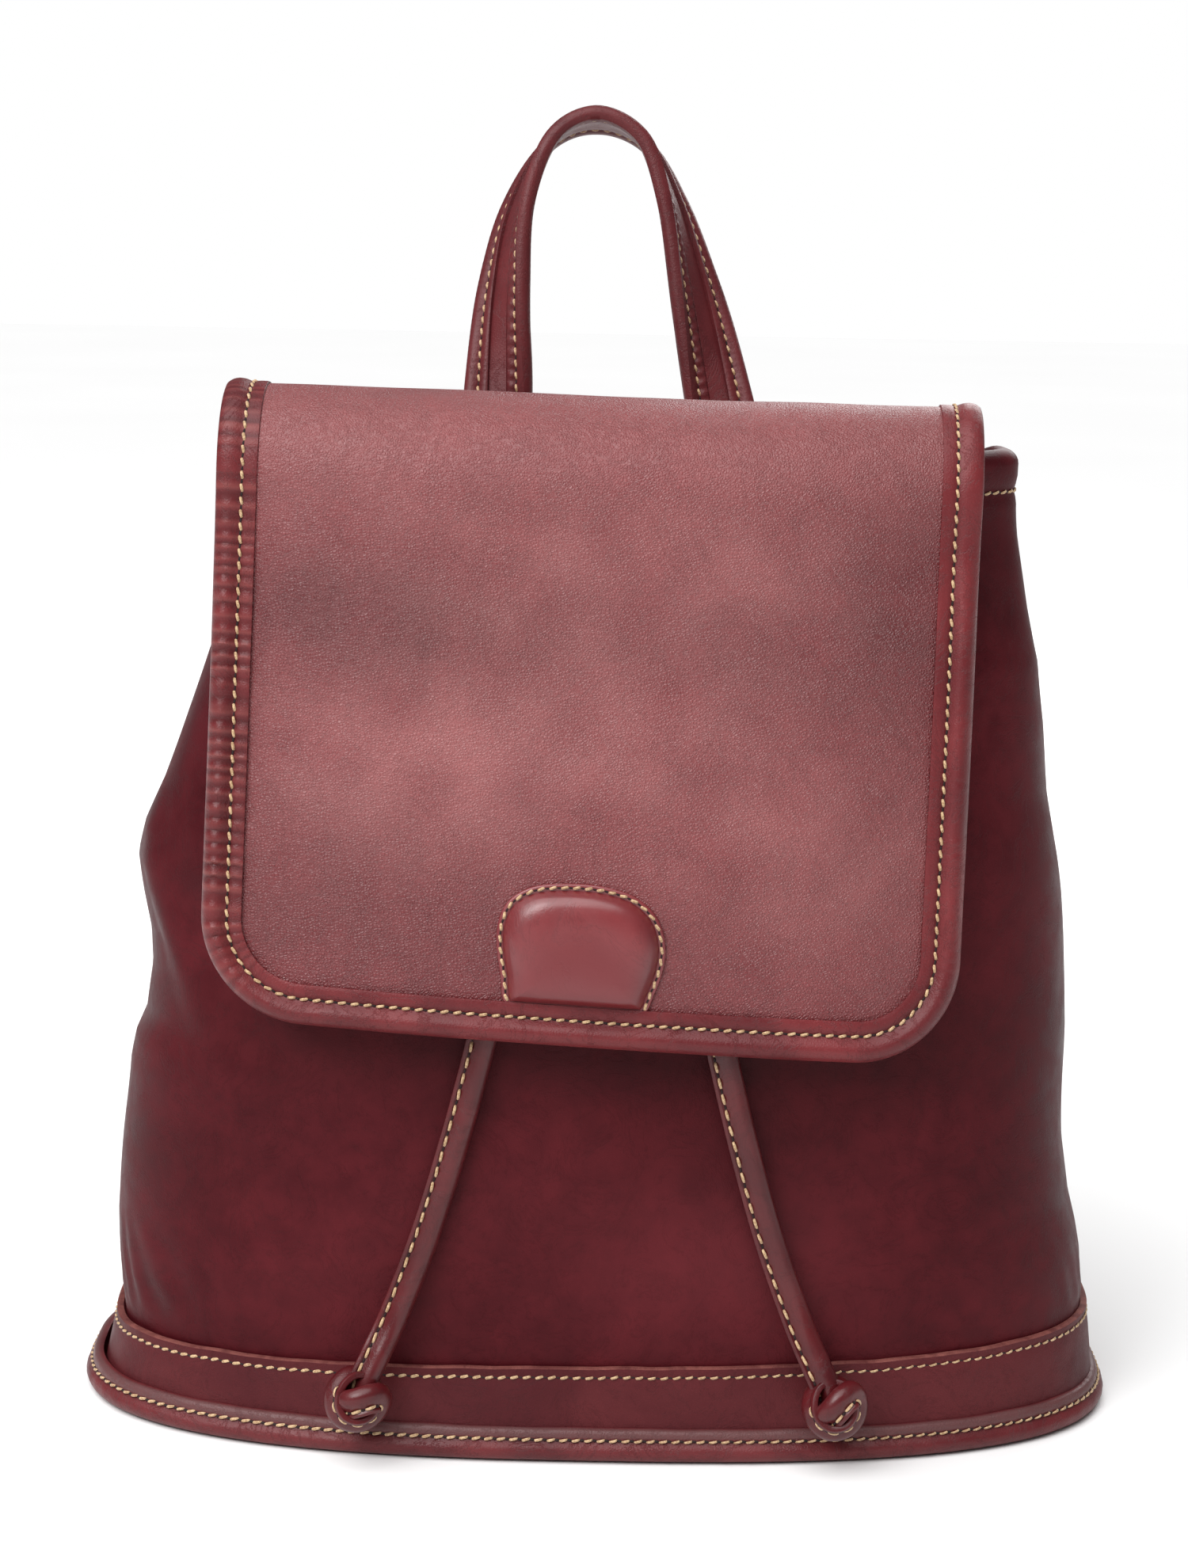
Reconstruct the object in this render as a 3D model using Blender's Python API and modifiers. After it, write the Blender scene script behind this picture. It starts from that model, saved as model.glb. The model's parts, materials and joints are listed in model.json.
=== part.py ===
"""Leather drawstring backpack.

A soft tapered body stands on a stiff oval base. A folded hem round the mouth holds a drawstring whose two
knotted ends hang down the front. A bound flap folds over the mouth from the back, a top handle and two
buckled shoulder straps are sewn to the back. Metres, +Z up, the front faces -Y, the origin is at the
centre of the underside.
"""
import math

import bmesh
import bpy
from mathutils import Vector

# ---------------------------------------------------------------- driving dimensions
COLLECTION = "leather_backpack"
GAP = 0.0004
LEATHER = 0.0018

# Base: an oval with full corners, wider than the body above it.
BASE_HALF_WIDTH = 0.1602
BASE_HALF_DEPTH = 0.0765
PLAN_POWER = 2.6
BACK_POWER_TOP = 6.0
PANEL_THICK = 0.0020
PANEL_INSET = 0.0067
BOARD_THICK = 0.0020
BOARD_INSET = 0.0135
BAND_HEIGHT = 0.0280
BAND_FLARE = 0.0046
BODY_BOTTOM = PANEL_THICK + GAP

# Body sections: height, half width, reach to the front, reach to the back.
BODY_STATIONS = (
    (0.0000, 0.1500, 0.0665, 0.0665),
    (0.0450, 0.1500, 0.0680, 0.0675),
    (0.1000, 0.1455, 0.0690, 0.0680),
    (0.1650, 0.1410, 0.0650, 0.0670),
    (0.2300, 0.1270, 0.0550, 0.0640),
    (0.2720, 0.1215, 0.0490, 0.0620),
    (0.2970, 0.1215, 0.0460, 0.0605),
)
RIM_HEIGHT = 0.2960
RIM_BACK_DROP = 0.0090
HEM_HEIGHT = 0.0135
HEM_THICK = 0.0098
SIDE_SEAM_DEG = 100.0
SEAM_GAP_DEG = 0.80
COLUMN_STEP_DEG = 8.0

# Drawstring: the run inside the hem, the two free ends and their knots.
CORD_RADIUS = 0.00325
CORD_HOLE_X = 0.0140
CORD_HOLE_SIZE = 0.0085
LOOP_THICK = 0.0048
LOOP_TALL = 0.0082
CORD_EXIT_DROP = 0.0080
KNOT_RADIUS = 0.0100
CORD_ROUTE = (
    (0.0140, -0.0508, 0.2880),
    (0.0146, -0.0545, 0.2600),
    (0.0168, -0.0588, 0.2300),
    (0.0210, -0.0640, 0.1980),
    (0.0268, -0.0686, 0.1650),
    (0.0336, -0.0711, 0.1320),
    (0.0414, -0.0720, 0.1000),
    (0.0500, -0.0714, 0.0700),
    (0.0590, -0.0722, 0.0450),
    (0.0652, -0.0762, 0.0322),
)
KNOT_CENTRE = (0.0700, -0.0800, 0.0206)

# Flap: a flat pattern folded over the mouth. The side profile is the outer surface, back to front.
FLAP_HALF_WIDTH = 0.1098
FLAP_THICK = 0.0020
FLAP_BACK = (0.0660, 0.2915)
FLAP_CREST = (-0.0560, 0.3170)
FLAP_CREST_RADIUS = 0.0300
FLAP_FOOT = (-0.0808, 0.1286)
FLAP_CORNER_RADIUS = 0.0300
FLAP_DRIFT = -0.0070
FLAP_DROOP = 0.0540
FLAP_WRAP = 0.0090
BINDING_WIDTH = 0.0120
BINDING_OVERHANG = 0.0024
BINDING_LEG = 0.0011
TAIL_HALF_WIDTH = 0.0980
TAIL_BOTTOM = 0.2560
TAIL_TOP = 0.2860

# Badge: a padded dome sewn over the flap's lower centre, and the magnetic snap behind it.
BADGE_HALF_WIDTH = 0.0225
BADGE_HEIGHT = 0.0340
BADGE_RISE = 0.0042
BADGE_SKIN = 0.0011
SNAP_RADIUS = 0.0085
SNAP_THICK = 0.0026
SNAP_HEIGHT = 0.1580

# Yoke: the patch on the back that covers the sewn ends of the handle and the shoulder straps.
YOKE_HALF_WIDTH = 0.0640
YOKE_BOTTOM = 0.2360
YOKE_TOP = 0.2760

# Handle: one strap that starts flat against the back and turns edge-on at the top of its arch.
HANDLE_WIDTH = 0.0225
HANDLE_EDGE_THICK = 0.0050
HANDLE_WEB_THICK = 0.0034
HANDLE_LEAN_DEG = 14.0
HANDLE_FOOT_Y = 0.0672
HANDLE_FOOT_Z = 0.2800
HANDLE_TWIST_LENGTH = 0.1150
HANDLE_ARCH = (
    (-0.0368, 0.0000),
    (-0.0368, 0.0260),
    (-0.0358, 0.0580),
    (-0.0318, 0.0850),
    (-0.0214, 0.1068),
    (-0.0062, 0.1140),
    (0.0094, 0.1070),
    (0.0188, 0.0880),
    (0.0256, 0.0640),
    (0.0334, 0.0300),
    (0.0374, 0.0080),
    (0.0380, 0.0000),
)

# Shoulder straps, drawn in a plane through both ends: distance along the chord, bulge to the back.
STRAP_TOP = (0.0300, 0.0653, 0.2330)
STRAP_FOOT = (0.0980, 0.0648, 0.0300)
STRAP_BELLY = (
    (0.0000, 0.0000),
    (0.0220, 0.0030),
    (0.0480, 0.0290),
    (0.0720, 0.0680),
    (0.1000, 0.1040),
    (0.1380, 0.1280),
    (0.1760, 0.1220),
    (0.2020, 0.0880),
    (0.2070, 0.0450),
    (0.2060, 0.0160),
    (0.2142, 0.0000),
)
UPPER_STRAP_WIDTH = 0.0260
STRAP_END_WIDTH = 0.0164
LOWER_STRAP_WIDTH = 0.0160
STRAP_THICK = 0.0024
BUCKLE_AT = 0.2450
BUCKLE_LENGTH = 0.0180
BUCKLE_HALF_WIDTH = 0.0118
BUCKLE_WIRE = 0.0013
PRONG_WIRE = 0.0009
FOLD_RADIUS = 0.0030
FOLD_RETURN = 0.0300
FOLD_SLOT = 0.0050
OVERLAP = 0.0720
STRAP_RISE_INSET = 0.0020
KEEPER_BACK = 0.0200
KEEPER_WIDTH = 0.0080
KEEPER_WALL = 0.0013

LEATHER_RED = (0.120, 0.022, 0.028)
LEATHER_DARK = (0.080, 0.014, 0.018)
BOARD_GREY = (0.140, 0.120, 0.100)
FOAM_GREY = (0.300, 0.300, 0.300)
BRASS = (0.700, 0.480, 0.220)


# ---------------------------------------------------------------- scene and objects
def clear_scene():
    for obj in list(bpy.data.objects):
        bpy.data.objects.remove(obj, do_unlink=True)


def make_collection(name):
    collection = bpy.data.collections.new(name)
    bpy.context.scene.collection.children.link(collection)
    return collection


def make_material(name, colour, roughness, metallic=0.0):
    material = bpy.data.materials.new(name)
    material.use_nodes = True
    shader = material.node_tree.nodes["Principled BSDF"]
    shader.inputs["Base Color"].default_value = (*colour, 1.0)
    shader.inputs["Roughness"].default_value = roughness
    shader.inputs["Metallic"].default_value = metallic
    return material


def add_object(name, data, material, parent=None):
    """Link a new object for DATA, given in world coordinates, under an optional parent empty."""
    obj = bpy.data.objects.new(name, data)
    PARTS.objects.link(obj)
    obj.data.materials.append(material)
    if parent is not None:
        obj.parent = parent
        obj.location = -parent.location
    if isinstance(data, bpy.types.Mesh):
        data.shade_smooth()
        data.set_sharp_from_angle(angle=math.radians(40))
    return obj


def add_pivot(name, position):
    """An empty on a joint's axis that carries the moving pieces."""
    empty = bpy.data.objects.new(name, None)
    empty.location = position
    PARTS.objects.link(empty)
    return empty


def cut(target, cutter):
    """Take CUTTER out of TARGET and keep it as a hidden wire guide."""
    cutter.hide_render = True
    cutter.display_type = "WIRE"
    boolean = target.modifiers.new("cut_" + cutter.name, "BOOLEAN")
    boolean.operation = "DIFFERENCE"
    boolean.solver = "EXACT"
    boolean.object = cutter


def box_cutter(name, centre, half_sizes, axes=None):
    """A box in the cutter collection, along AXES if they are given."""
    mesh = bpy.data.meshes.new(name)
    shape = bmesh.new()
    bmesh.ops.create_cube(shape, size=2.0)
    directions = axes or (Vector((1, 0, 0)), Vector((0, 1, 0)), Vector((0, 0, 1)))
    for vertex in shape.verts:
        offset = Vector((0.0, 0.0, 0.0))
        for value, half, direction in zip(vertex.co, half_sizes, directions):
            offset += value * half * direction
        vertex.co = Vector(centre) + offset
    shape.normal_update()
    bmesh.ops.recalc_face_normals(shape, faces=shape.faces)
    shape.to_mesh(mesh)
    shape.free()
    obj = bpy.data.objects.new(name, mesh)
    CUTTERS.objects.link(obj)
    return obj


# ---------------------------------------------------------------- curves and interpolation
def smoothstep(low, high, value):
    share = min(1.0, max(0.0, (value - low) / (high - low)))
    return share * share * (3.0 - 2.0 * share)


def spline(points, per_span):
    """Catmull-Rom curve through POINTS of any dimension, with PER_SPAN steps between two of them."""
    nodes = [Vector(p) for p in points]
    padded = [2 * nodes[0] - nodes[1]] + nodes + [2 * nodes[-1] - nodes[-2]]
    result = []
    for index in range(len(nodes) - 1):
        p0, p1, p2, p3 = padded[index:index + 4]
        for step in range(per_span):
            t = step / per_span
            tangent_in = 0.5 * (p2 - p0)
            tangent_out = 0.5 * (p3 - p1)
            result.append(
                (2 * t**3 - 3 * t**2 + 1) * p1 + (t**3 - 2 * t**2 + t) * tangent_in
                + (3 * t**2 - 2 * t**3) * p2 + (t**3 - t**2) * tangent_out
            )
    result.append(nodes[-1])
    return result


class Path:
    """A polyline that can be read at any distance along it."""

    def __init__(self, points):
        self.points = [Vector(p) for p in points]
        self.marks = [0.0]
        for first, second in zip(self.points, self.points[1:]):
            self.marks.append(self.marks[-1] + (second - first).length)
        self.length = self.marks[-1]

    def at(self, distance):
        distance = min(max(distance, 0.0), self.length)
        index = 0
        while index < len(self.marks) - 2 and self.marks[index + 1] < distance:
            index += 1
        span = self.marks[index + 1] - self.marks[index]
        share = (distance - self.marks[index]) / span
        return self.points[index].lerp(self.points[index + 1], share)

    def tangent(self, distance, reach=0.0015):
        return (self.at(distance + reach) - self.at(distance - reach)).normalized()


def body_station(height):
    """Half width, front reach and back reach of the body at a height."""
    last = len(BODY_STATIONS) - 1
    index = 0
    while index < last - 1 and BODY_STATIONS[index + 1][0] < height:
        index += 1
    low, high = BODY_STATIONS[index], BODY_STATIONS[index + 1]
    before = BODY_STATIONS[max(index - 1, 0)]
    after = BODY_STATIONS[min(index + 2, last)]
    span = high[0] - low[0]
    t = min(max((height - low[0]) / span, 0.0), 1.0)
    values = []
    for column in (1, 2, 3):
        slope_low = (high[column] - before[column]) / (high[0] - before[0])
        slope_high = (after[column] - low[column]) / (after[0] - low[0])
        values.append(
            (2 * t**3 - 3 * t**2 + 1) * low[column] + (t**3 - 2 * t**2 + t) * slope_low * span
            + (3 * t**2 - 2 * t**3) * high[column] + (t**3 - t**2) * slope_high * span
        )
    return values


def oval(angle_deg, half_width, front, back, front_power=PLAN_POWER, back_power=PLAN_POWER):
    """A point of the plan outline. The angle runs from the front centre over +X to the back."""
    angle = math.radians(angle_deg)
    sine, cosine = math.sin(angle), math.cos(angle)
    power = front_power if cosine >= 0 else back_power
    x = math.copysign(abs(sine) ** (2.0 / power), sine) * half_width
    reach = abs(cosine) ** (2.0 / power)
    y = -front * reach if cosine >= 0 else back * reach
    return x, y


def body_point(angle_deg, height, inset=0.0):
    """A point on the body wall, INSET inwards. The back is squarer towards the top."""
    half_width, front, back = body_station(height)
    back_power = PLAN_POWER + (BACK_POWER_TOP - PLAN_POWER) * smoothstep(0.10, 0.27, height)
    x, y = oval(angle_deg, half_width - inset, front - inset, back - inset, PLAN_POWER, back_power)
    return Vector((x, y, height))


def back_y(x, height):
    """The body wall's reach to the back at a place across it."""
    half_width, _, back = body_station(height)
    power = PLAN_POWER + (BACK_POWER_TOP - PLAN_POWER) * smoothstep(0.10, 0.27, height)
    return back * (1.0 - (abs(x) / half_width) ** power) ** (1.0 / power)


def rim_height(y):
    """The mouth's rim is level at the front and sides and lower at the back."""
    return RIM_HEIGHT - RIM_BACK_DROP * smoothstep(0.0, 0.055, y)


# ---------------------------------------------------------------- solids
def grid_mesh(name, rows):
    """An open sheet through ROWS of points."""
    mesh = bpy.data.meshes.new(name)
    shape = bmesh.new()
    verts = [[shape.verts.new(point) for point in row] for row in rows]
    for lower, upper in zip(verts, verts[1:]):
        for index in range(len(lower) - 1):
            shape.faces.new((lower[index], lower[index + 1], upper[index + 1], upper[index]))
    shape.to_mesh(mesh)
    shape.free()
    return mesh


def add_sheet(name, rows, thickness, material, parent=None):
    """A leather sheet through ROWS of points, with its thickness behind the face."""
    obj = add_object(name, grid_mesh(name, rows), material, parent)
    solidify = obj.modifiers.new("thickness", "SOLIDIFY")
    solidify.thickness = thickness
    solidify.offset = -1.0
    solidify.use_even_offset = True
    return obj


def add_loft(name, rings, material, parent=None, cyclic=False):
    """A closed solid lofted through RINGS of points, with flat ends unless it closes on itself."""
    mesh = bpy.data.meshes.new(name)
    shape = bmesh.new()
    verts = [[shape.verts.new(point) for point in ring] for ring in rings]
    count = len(verts[0])
    pairs = list(zip(verts, verts[1:]))
    if cyclic:
        pairs.append((verts[-1], verts[0]))
    for first, second in pairs:
        for index in range(count):
            after = (index + 1) % count
            shape.faces.new((first[index], first[after], second[after], second[index]))
    if not cyclic:
        shape.faces.new(verts[0])
        shape.faces.new(list(reversed(verts[-1])))
    shape.normal_update()
    bmesh.ops.recalc_face_normals(shape, faces=shape.faces)
    shape.to_mesh(mesh)
    shape.free()
    return add_object(name, mesh, material, parent)


def add_tube(name, points, radius, material, parent=None, cyclic=False, resolution=2):
    """A round bar or cord along POINTS."""
    curve = bpy.data.curves.new(name, "CURVE")
    curve.dimensions = "3D"
    curve.bevel_depth = radius
    curve.bevel_resolution = resolution
    curve.use_fill_caps = not cyclic
    line = curve.splines.new("POLY")
    line.points.add(len(points) - 1)
    for point, place in zip(line.points, points):
        point.co = (*place, 1.0)
    line.use_cyclic_u = cyclic
    return add_object(name, curve, material, parent)


def add_plate(name, outline, bottom, thickness, material):
    """A flat sheet with a given outline, its underside at BOTTOM."""
    curve = bpy.data.curves.new(name, "CURVE")
    curve.dimensions = "2D"
    curve.fill_mode = "BOTH"
    curve.extrude = thickness / 2
    line = curve.splines.new("POLY")
    line.points.add(len(outline) - 1)
    for point, place in zip(line.points, outline):
        point.co = (*place, 0.0, 1.0)
    line.use_cyclic_u = True
    obj = add_object(name, curve, material)
    obj.location = (0.0, 0.0, bottom + thickness / 2)
    return obj


# ---------------------------------------------------------------- base
def base_outline(inset):
    return [
        oval(step * 7.5, BASE_HALF_WIDTH - inset, BASE_HALF_DEPTH - inset, BASE_HALF_DEPTH - inset)
        for step in range(48)
    ]


def band_point(angle_deg, height, outset):
    """A point on the base band, which flares from the body out to the base."""
    flare = BAND_FLARE * (1.0 - height / BAND_HEIGHT)
    return body_point(angle_deg, height, -(outset + flare))


def build_base():
    add_plate("base_panel", base_outline(PANEL_INSET), 0.0, PANEL_THICK, DARK)
    add_plate("base_board", base_outline(BOARD_INSET), PANEL_THICK + GAP, BOARD_THICK, BOARD)
    band_rows = []
    for height in (BODY_BOTTOM, BAND_HEIGHT * 0.3, BAND_HEIGHT * 0.65, BAND_HEIGHT):
        outset = GAP + LEATHER
        band_rows.append([band_point(step * 7.5, height, outset) for step in range(48)])
    rings = []
    for column in range(48):
        outer = [row[column] for row in band_rows]
        inner = []
        for height in (BAND_HEIGHT, BAND_HEIGHT * 0.65, BAND_HEIGHT * 0.3, BODY_BOTTOM):
            inner.append(band_point(column * 7.5, height, GAP))
        rings.append(outer + inner)
    add_loft("base_band", rings, RED, cyclic=True)
    # Rolled binding round the seam between band and base: inset from the widest line, height.
    section = (
        (0.0032, 0.0090), (0.0022, 0.0092), (0.0006, 0.0072), (0.0, 0.0044),
        (0.0007, 0.0018), (0.0022, 0.0004), (0.0032, 0.0004),
    )
    rings = []
    for step in range(60):
        ring = []
        for inset, height in section:
            half_width, half_depth = BASE_HALF_WIDTH - inset, BASE_HALF_DEPTH - inset
            x, y = oval(step * 6.0, half_width, half_depth, half_depth)
            ring.append(Vector((x, y, height)))
        rings.append(ring)
    add_loft("base_binding", rings, DARK, cyclic=True)


# ---------------------------------------------------------------- body
def wall_column(angle_deg):
    """One column of the body wall from the base up, over the rim and down inside the hem."""
    rim = rim_height(body_point(angle_deg, RIM_HEIGHT).y)
    sink = RIM_HEIGHT - rim
    column = []
    levels = (BODY_BOTTOM, 0.024, 0.050, 0.078, 0.106, 0.136, 0.165, 0.194, 0.222, 0.248, 0.268)
    for level in levels:
        height = level - sink * smoothstep(0.18, RIM_HEIGHT, level)
        column.append(body_point(angle_deg, height))
    hem = (
        (HEM_HEIGHT, 0.0), (0.0045, 0.0), (0.0014, 0.0014), (0.0, HEM_THICK / 2),
        (0.0014, HEM_THICK - 0.0014), (0.0045, HEM_THICK), (HEM_HEIGHT, HEM_THICK),
    )
    column += [body_point(angle_deg, rim - drop, inset) for drop, inset in hem]
    return column


def wall_rows(first_deg, last_deg):
    count = round((last_deg - first_deg) / COLUMN_STEP_DEG)
    step = (last_deg - first_deg) / count
    columns = [wall_column(first_deg + step * index) for index in range(count + 1)]
    return [list(row) for row in zip(*columns)]


def build_body():
    body = add_sheet("body_wrap", wall_rows(-SIDE_SEAM_DEG, SIDE_SEAM_DEG), LEATHER, RED)
    for side in (-1, 1):
        centre = (side * CORD_HOLE_X, -0.0465, RIM_HEIGHT - CORD_EXIT_DROP)
        half = CORD_HOLE_SIZE / 2
        cut(body, box_cutter(f"cord_hole_{side}", centre, (half, 0.0035, half)))
    first, last = SIDE_SEAM_DEG + SEAM_GAP_DEG, 360.0 - SIDE_SEAM_DEG - SEAM_GAP_DEG
    add_sheet("back_panel", wall_rows(first, last), LEATHER, RED)

    # The drawstring's run inside the hem, from one hole round the back to the other.
    rings = []
    for step in range(41):
        angle = 5.0 + 350.0 * step / 40
        height = rim_height(body_point(angle, RIM_HEIGHT).y) - CORD_EXIT_DROP
        ring = []
        for out, up in ((-1, -0.7), (-1, 0.7), (-0.4, 1), (0.4, 1), (1, 0.7), (1, -0.7), (0.4, -1), (-0.4, -1)):
            inset = HEM_THICK / 2 + out * LOOP_THICK / 2
            point = body_point(angle, height, inset)
            point.z += up * LOOP_TALL / 2
            ring.append(point)
        rings.append(ring)
    add_loft("drawstring_loop", rings, DARK)


# ---------------------------------------------------------------- flap
def flap_profile():
    """The flap's side profile with its crest rounded, as a path of (y, z) points."""
    back, crest, foot = Vector(FLAP_BACK), Vector(FLAP_CREST), Vector(FLAP_FOOT)
    into = (back - crest).normalized()
    out = (foot - crest).normalized()
    half_turn = into.angle(out) / 2
    reach = FLAP_CREST_RADIUS / math.tan(half_turn)
    centre = crest + (into + out).normalized() * (FLAP_CREST_RADIUS / math.sin(half_turn))
    start, end = crest + into * reach - centre, crest + out * reach - centre
    turn = math.pi - 2 * half_turn
    arc = []
    for step in range(13):
        angle = turn * step / 12
        cosine, sine = math.cos(angle), math.sin(angle)
        arc.append(centre + Vector((cosine * start.x - sine * start.y, sine * start.x + cosine * start.y)))
    assert (arc[-1] - centre - end).length < 1e-6
    return Path([back] + arc + [foot])


def flap_point(u, s, h):
    """Fold the flap's flat pattern: U across, S along from the back edge, H out of its face."""
    place = FLAP_PATH.at(s)
    along = FLAP_PATH.tangent(s)
    normal = Vector((along.y, -along.x))
    share = s / FLAP_PATH.length
    over = smoothstep(0.25, 0.55, share)
    x = u + FLAP_DRIFT * share
    y = place.x + normal.x * h + FLAP_WRAP * over * (abs(u) / FLAP_HALF_WIDTH) ** 2.4
    z = place.y + normal.y * h - FLAP_DROOP * u * share
    return Vector((x, y, z))


def flap_marks(start, end):
    """Places along the flap that keep every vertex of its profile, with the long spans divided."""
    marks = [mark for mark in FLAP_PATH.marks if start < mark < end]
    back, front = marks[0], marks[-1]
    before = [start + (back - start) * step / 4 for step in range(4)]
    after = [front + (end - front) * step / 8 for step in range(1, 8)]
    return before + marks + after


def flap_outline(inset, start):
    """The flap's edge in its flat pattern, from the left back corner round to the right one."""
    half = FLAP_HALF_WIDTH - inset
    end = FLAP_PATH.length - inset
    radius = FLAP_CORNER_RADIUS - inset
    points = [(-half, s) for s in flap_marks(start, end - radius)]
    for step in range(9):
        angle = math.radians(90.0 * step / 8)
        points.append((-half + radius * (1 - math.cos(angle)), end - radius + radius * math.sin(angle)))
    points += [((half - radius) * (step / 5 - 1), end) for step in range(1, 5)]
    mirrored = [(-u, s) for u, s in reversed(points)]
    return points + [(0.0, end)] + mirrored


def build_flap(pivot):
    inset = BINDING_OVERHANG + GAP / 2
    half = FLAP_HALF_WIDTH - inset
    radius = FLAP_CORNER_RADIUS - inset
    end = FLAP_PATH.length - inset
    rows = []
    stations = flap_marks(0.0, end - radius)
    stations += [end - radius * (1 - math.sin(math.radians(15.0 * step))) for step in range(7)]
    for s in stations:
        cut_in = max(0.0, s - (end - radius))
        limit = half - radius + math.sqrt(max(radius**2 - cut_in**2, 0.0))
        rows.append([flap_point(limit * (1 - step / 7), s, 0.0) for step in range(15)])
    add_sheet("flap_panel", rows, FLAP_THICK, RED, pivot)

    top, bottom = GAP, -FLAP_THICK - GAP
    section = (
        (BINDING_WIDTH, top), (BINDING_WIDTH, top + BINDING_LEG), (0.0030, top + BINDING_LEG + 0.0004),
        (0.0008, 0.0006), (0.0, -FLAP_THICK / 2), (0.0008, bottom + 0.0002),
        (0.0030, bottom - BINDING_LEG - 0.0004), (BINDING_WIDTH, bottom - BINDING_LEG),
        (BINDING_WIDTH, bottom), (BINDING_OVERHANG - GAP / 2, bottom), (BINDING_OVERHANG - GAP / 2, top),
    )
    outlines = [flap_outline(inward, 0.0010) for inward, _ in section]
    rings = []
    for index in range(len(outlines[0])):
        rings.append([flap_point(*outline[index], h) for outline, (_, h) in zip(outlines, section)])
    add_loft("flap_binding", rings, DARK, pivot)
    build_badge(pivot)


def badge_ring(scale, h, count=24):
    """One outline of the badge in the flap's pattern: a straight foot, full sides and a rounded head."""
    foot = FLAP_PATH.length - BINDING_WIDTH - 0.0008
    middle = foot - BADGE_HEIGHT * 0.47
    ring = []
    for step in range(count):
        angle = 2 * math.pi * step / count
        sine, cosine = math.sin(angle), math.cos(angle)
        u = math.copysign(abs(sine) ** 0.72, sine) * BADGE_HALF_WIDTH
        reach = math.copysign(abs(cosine) ** 0.72, cosine)
        u *= 1.0 - 0.14 * max(reach, 0.0)
        s = middle + reach * BADGE_HEIGHT * (0.47 if reach > 0 else 0.53)
        ring.append(flap_point(u * scale, middle + (s - middle) * scale, h))
    return ring


def dome_rings(scale, lift, rise):
    """Rings that climb from the rim of the badge to its crown."""
    steps = ((1.0, 0.0), (0.95, 0.45), (0.84, 0.78), (0.6, 0.95), (0.3, 1.0))
    return [badge_ring(scale * share, lift + rise * height) for share, height in steps]


def build_badge(pivot):
    outer = dome_rings(1.0, GAP + 0.0008, BADGE_RISE)
    inner = dome_rings(0.93, GAP, BADGE_RISE - BADGE_SKIN + 0.0002)
    mesh = bpy.data.meshes.new("flap_badge")
    shape = bmesh.new()
    shells = []
    for rings in (outer, inner):
        verts = [[shape.verts.new(point) for point in ring] for ring in rings]
        for first, second in zip(verts, verts[1:]):
            for index in range(len(first)):
                after = (index + 1) % len(first)
                shape.faces.new((first[index], first[after], second[after], second[index]))
        shape.faces.new(verts[-1])
        shells.append(verts[0])
    foot = [shape.verts.new(point) for point in badge_ring(1.0, GAP)]
    for index in range(len(foot)):
        after = (index + 1) % len(foot)
        shape.faces.new((foot[index], foot[after], shells[0][after], shells[0][index]))
        shape.faces.new((foot[index], foot[after], shells[1][after], shells[1][index]))
    shape.normal_update()
    bmesh.ops.recalc_face_normals(shape, faces=shape.faces)
    shape.to_mesh(mesh)
    shape.free()
    add_object("flap_badge", mesh, RED, pivot)
    pad_rise = BADGE_RISE - BADGE_SKIN - 2 * GAP
    rings = dome_rings(0.84, 2 * GAP, pad_rise)
    add_loft("badge_pad", rings, FOAM, pivot)

    # Magnetic snap: one half on the flap's underside, the other on the body's front.
    slope = math.atan2(FLAP_CREST[0] - FLAP_FOOT[0], FLAP_CREST[1] - FLAP_FOOT[1])
    normal = Vector((0.0, -math.cos(slope), math.sin(slope)))
    share = (SNAP_HEIGHT - FLAP_FOOT[1]) / (FLAP_CREST[1] - FLAP_FOOT[1])
    face_y = FLAP_FOOT[0] + share * (FLAP_CREST[0] - FLAP_FOOT[0])
    surface = Vector((FLAP_DRIFT, face_y, SNAP_HEIGHT))
    stud = surface - normal * (FLAP_THICK + GAP + SNAP_THICK / 2)
    socket = stud - normal * (SNAP_THICK + GAP)
    add_disc("snap_stud", stud, normal, SNAP_RADIUS, pivot)
    add_disc("snap_socket", socket, normal, SNAP_RADIUS + 0.0008, None)


def add_disc(name, centre, normal, radius, parent):
    """A short round metal disc facing along NORMAL."""
    mesh = bpy.data.meshes.new(name)
    shape = bmesh.new()
    bmesh.ops.create_cone(
        shape, cap_ends=True, segments=24, radius1=radius, radius2=radius, depth=SNAP_THICK
    )
    turn = Vector((0, 0, 1)).rotation_difference(normal).to_matrix()
    for vertex in shape.verts:
        vertex.co = turn @ vertex.co + centre
    shape.to_mesh(mesh)
    shape.free()
    return add_object(name, mesh, METAL, parent)


# ---------------------------------------------------------------- back pieces
def back_patch(name, half_width, bottom, top, lift, thickness, columns, rows):
    """A leather patch that follows the back of the body, its inner face LIFT away from it."""
    grid = []
    for row in range(rows + 1):
        height = bottom + (top - bottom) * row / rows
        line = []
        for column in range(columns + 1):
            x = half_width * (1 - 2 * column / columns)
            line.append(Vector((x, back_y(x, height) + lift + thickness, height)))
        grid.append(line)
    return add_sheet(name, grid, thickness, RED)


def build_back():
    back_patch("flap_tail", TAIL_HALF_WIDTH, TAIL_BOTTOM, TAIL_TOP, GAP, FLAP_THICK, 14, 3)
    lift = FLAP_THICK + 2 * GAP
    back_patch("back_yoke", YOKE_HALF_WIDTH, YOKE_BOTTOM, YOKE_TOP, lift, LEATHER, 10, 3)


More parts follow.
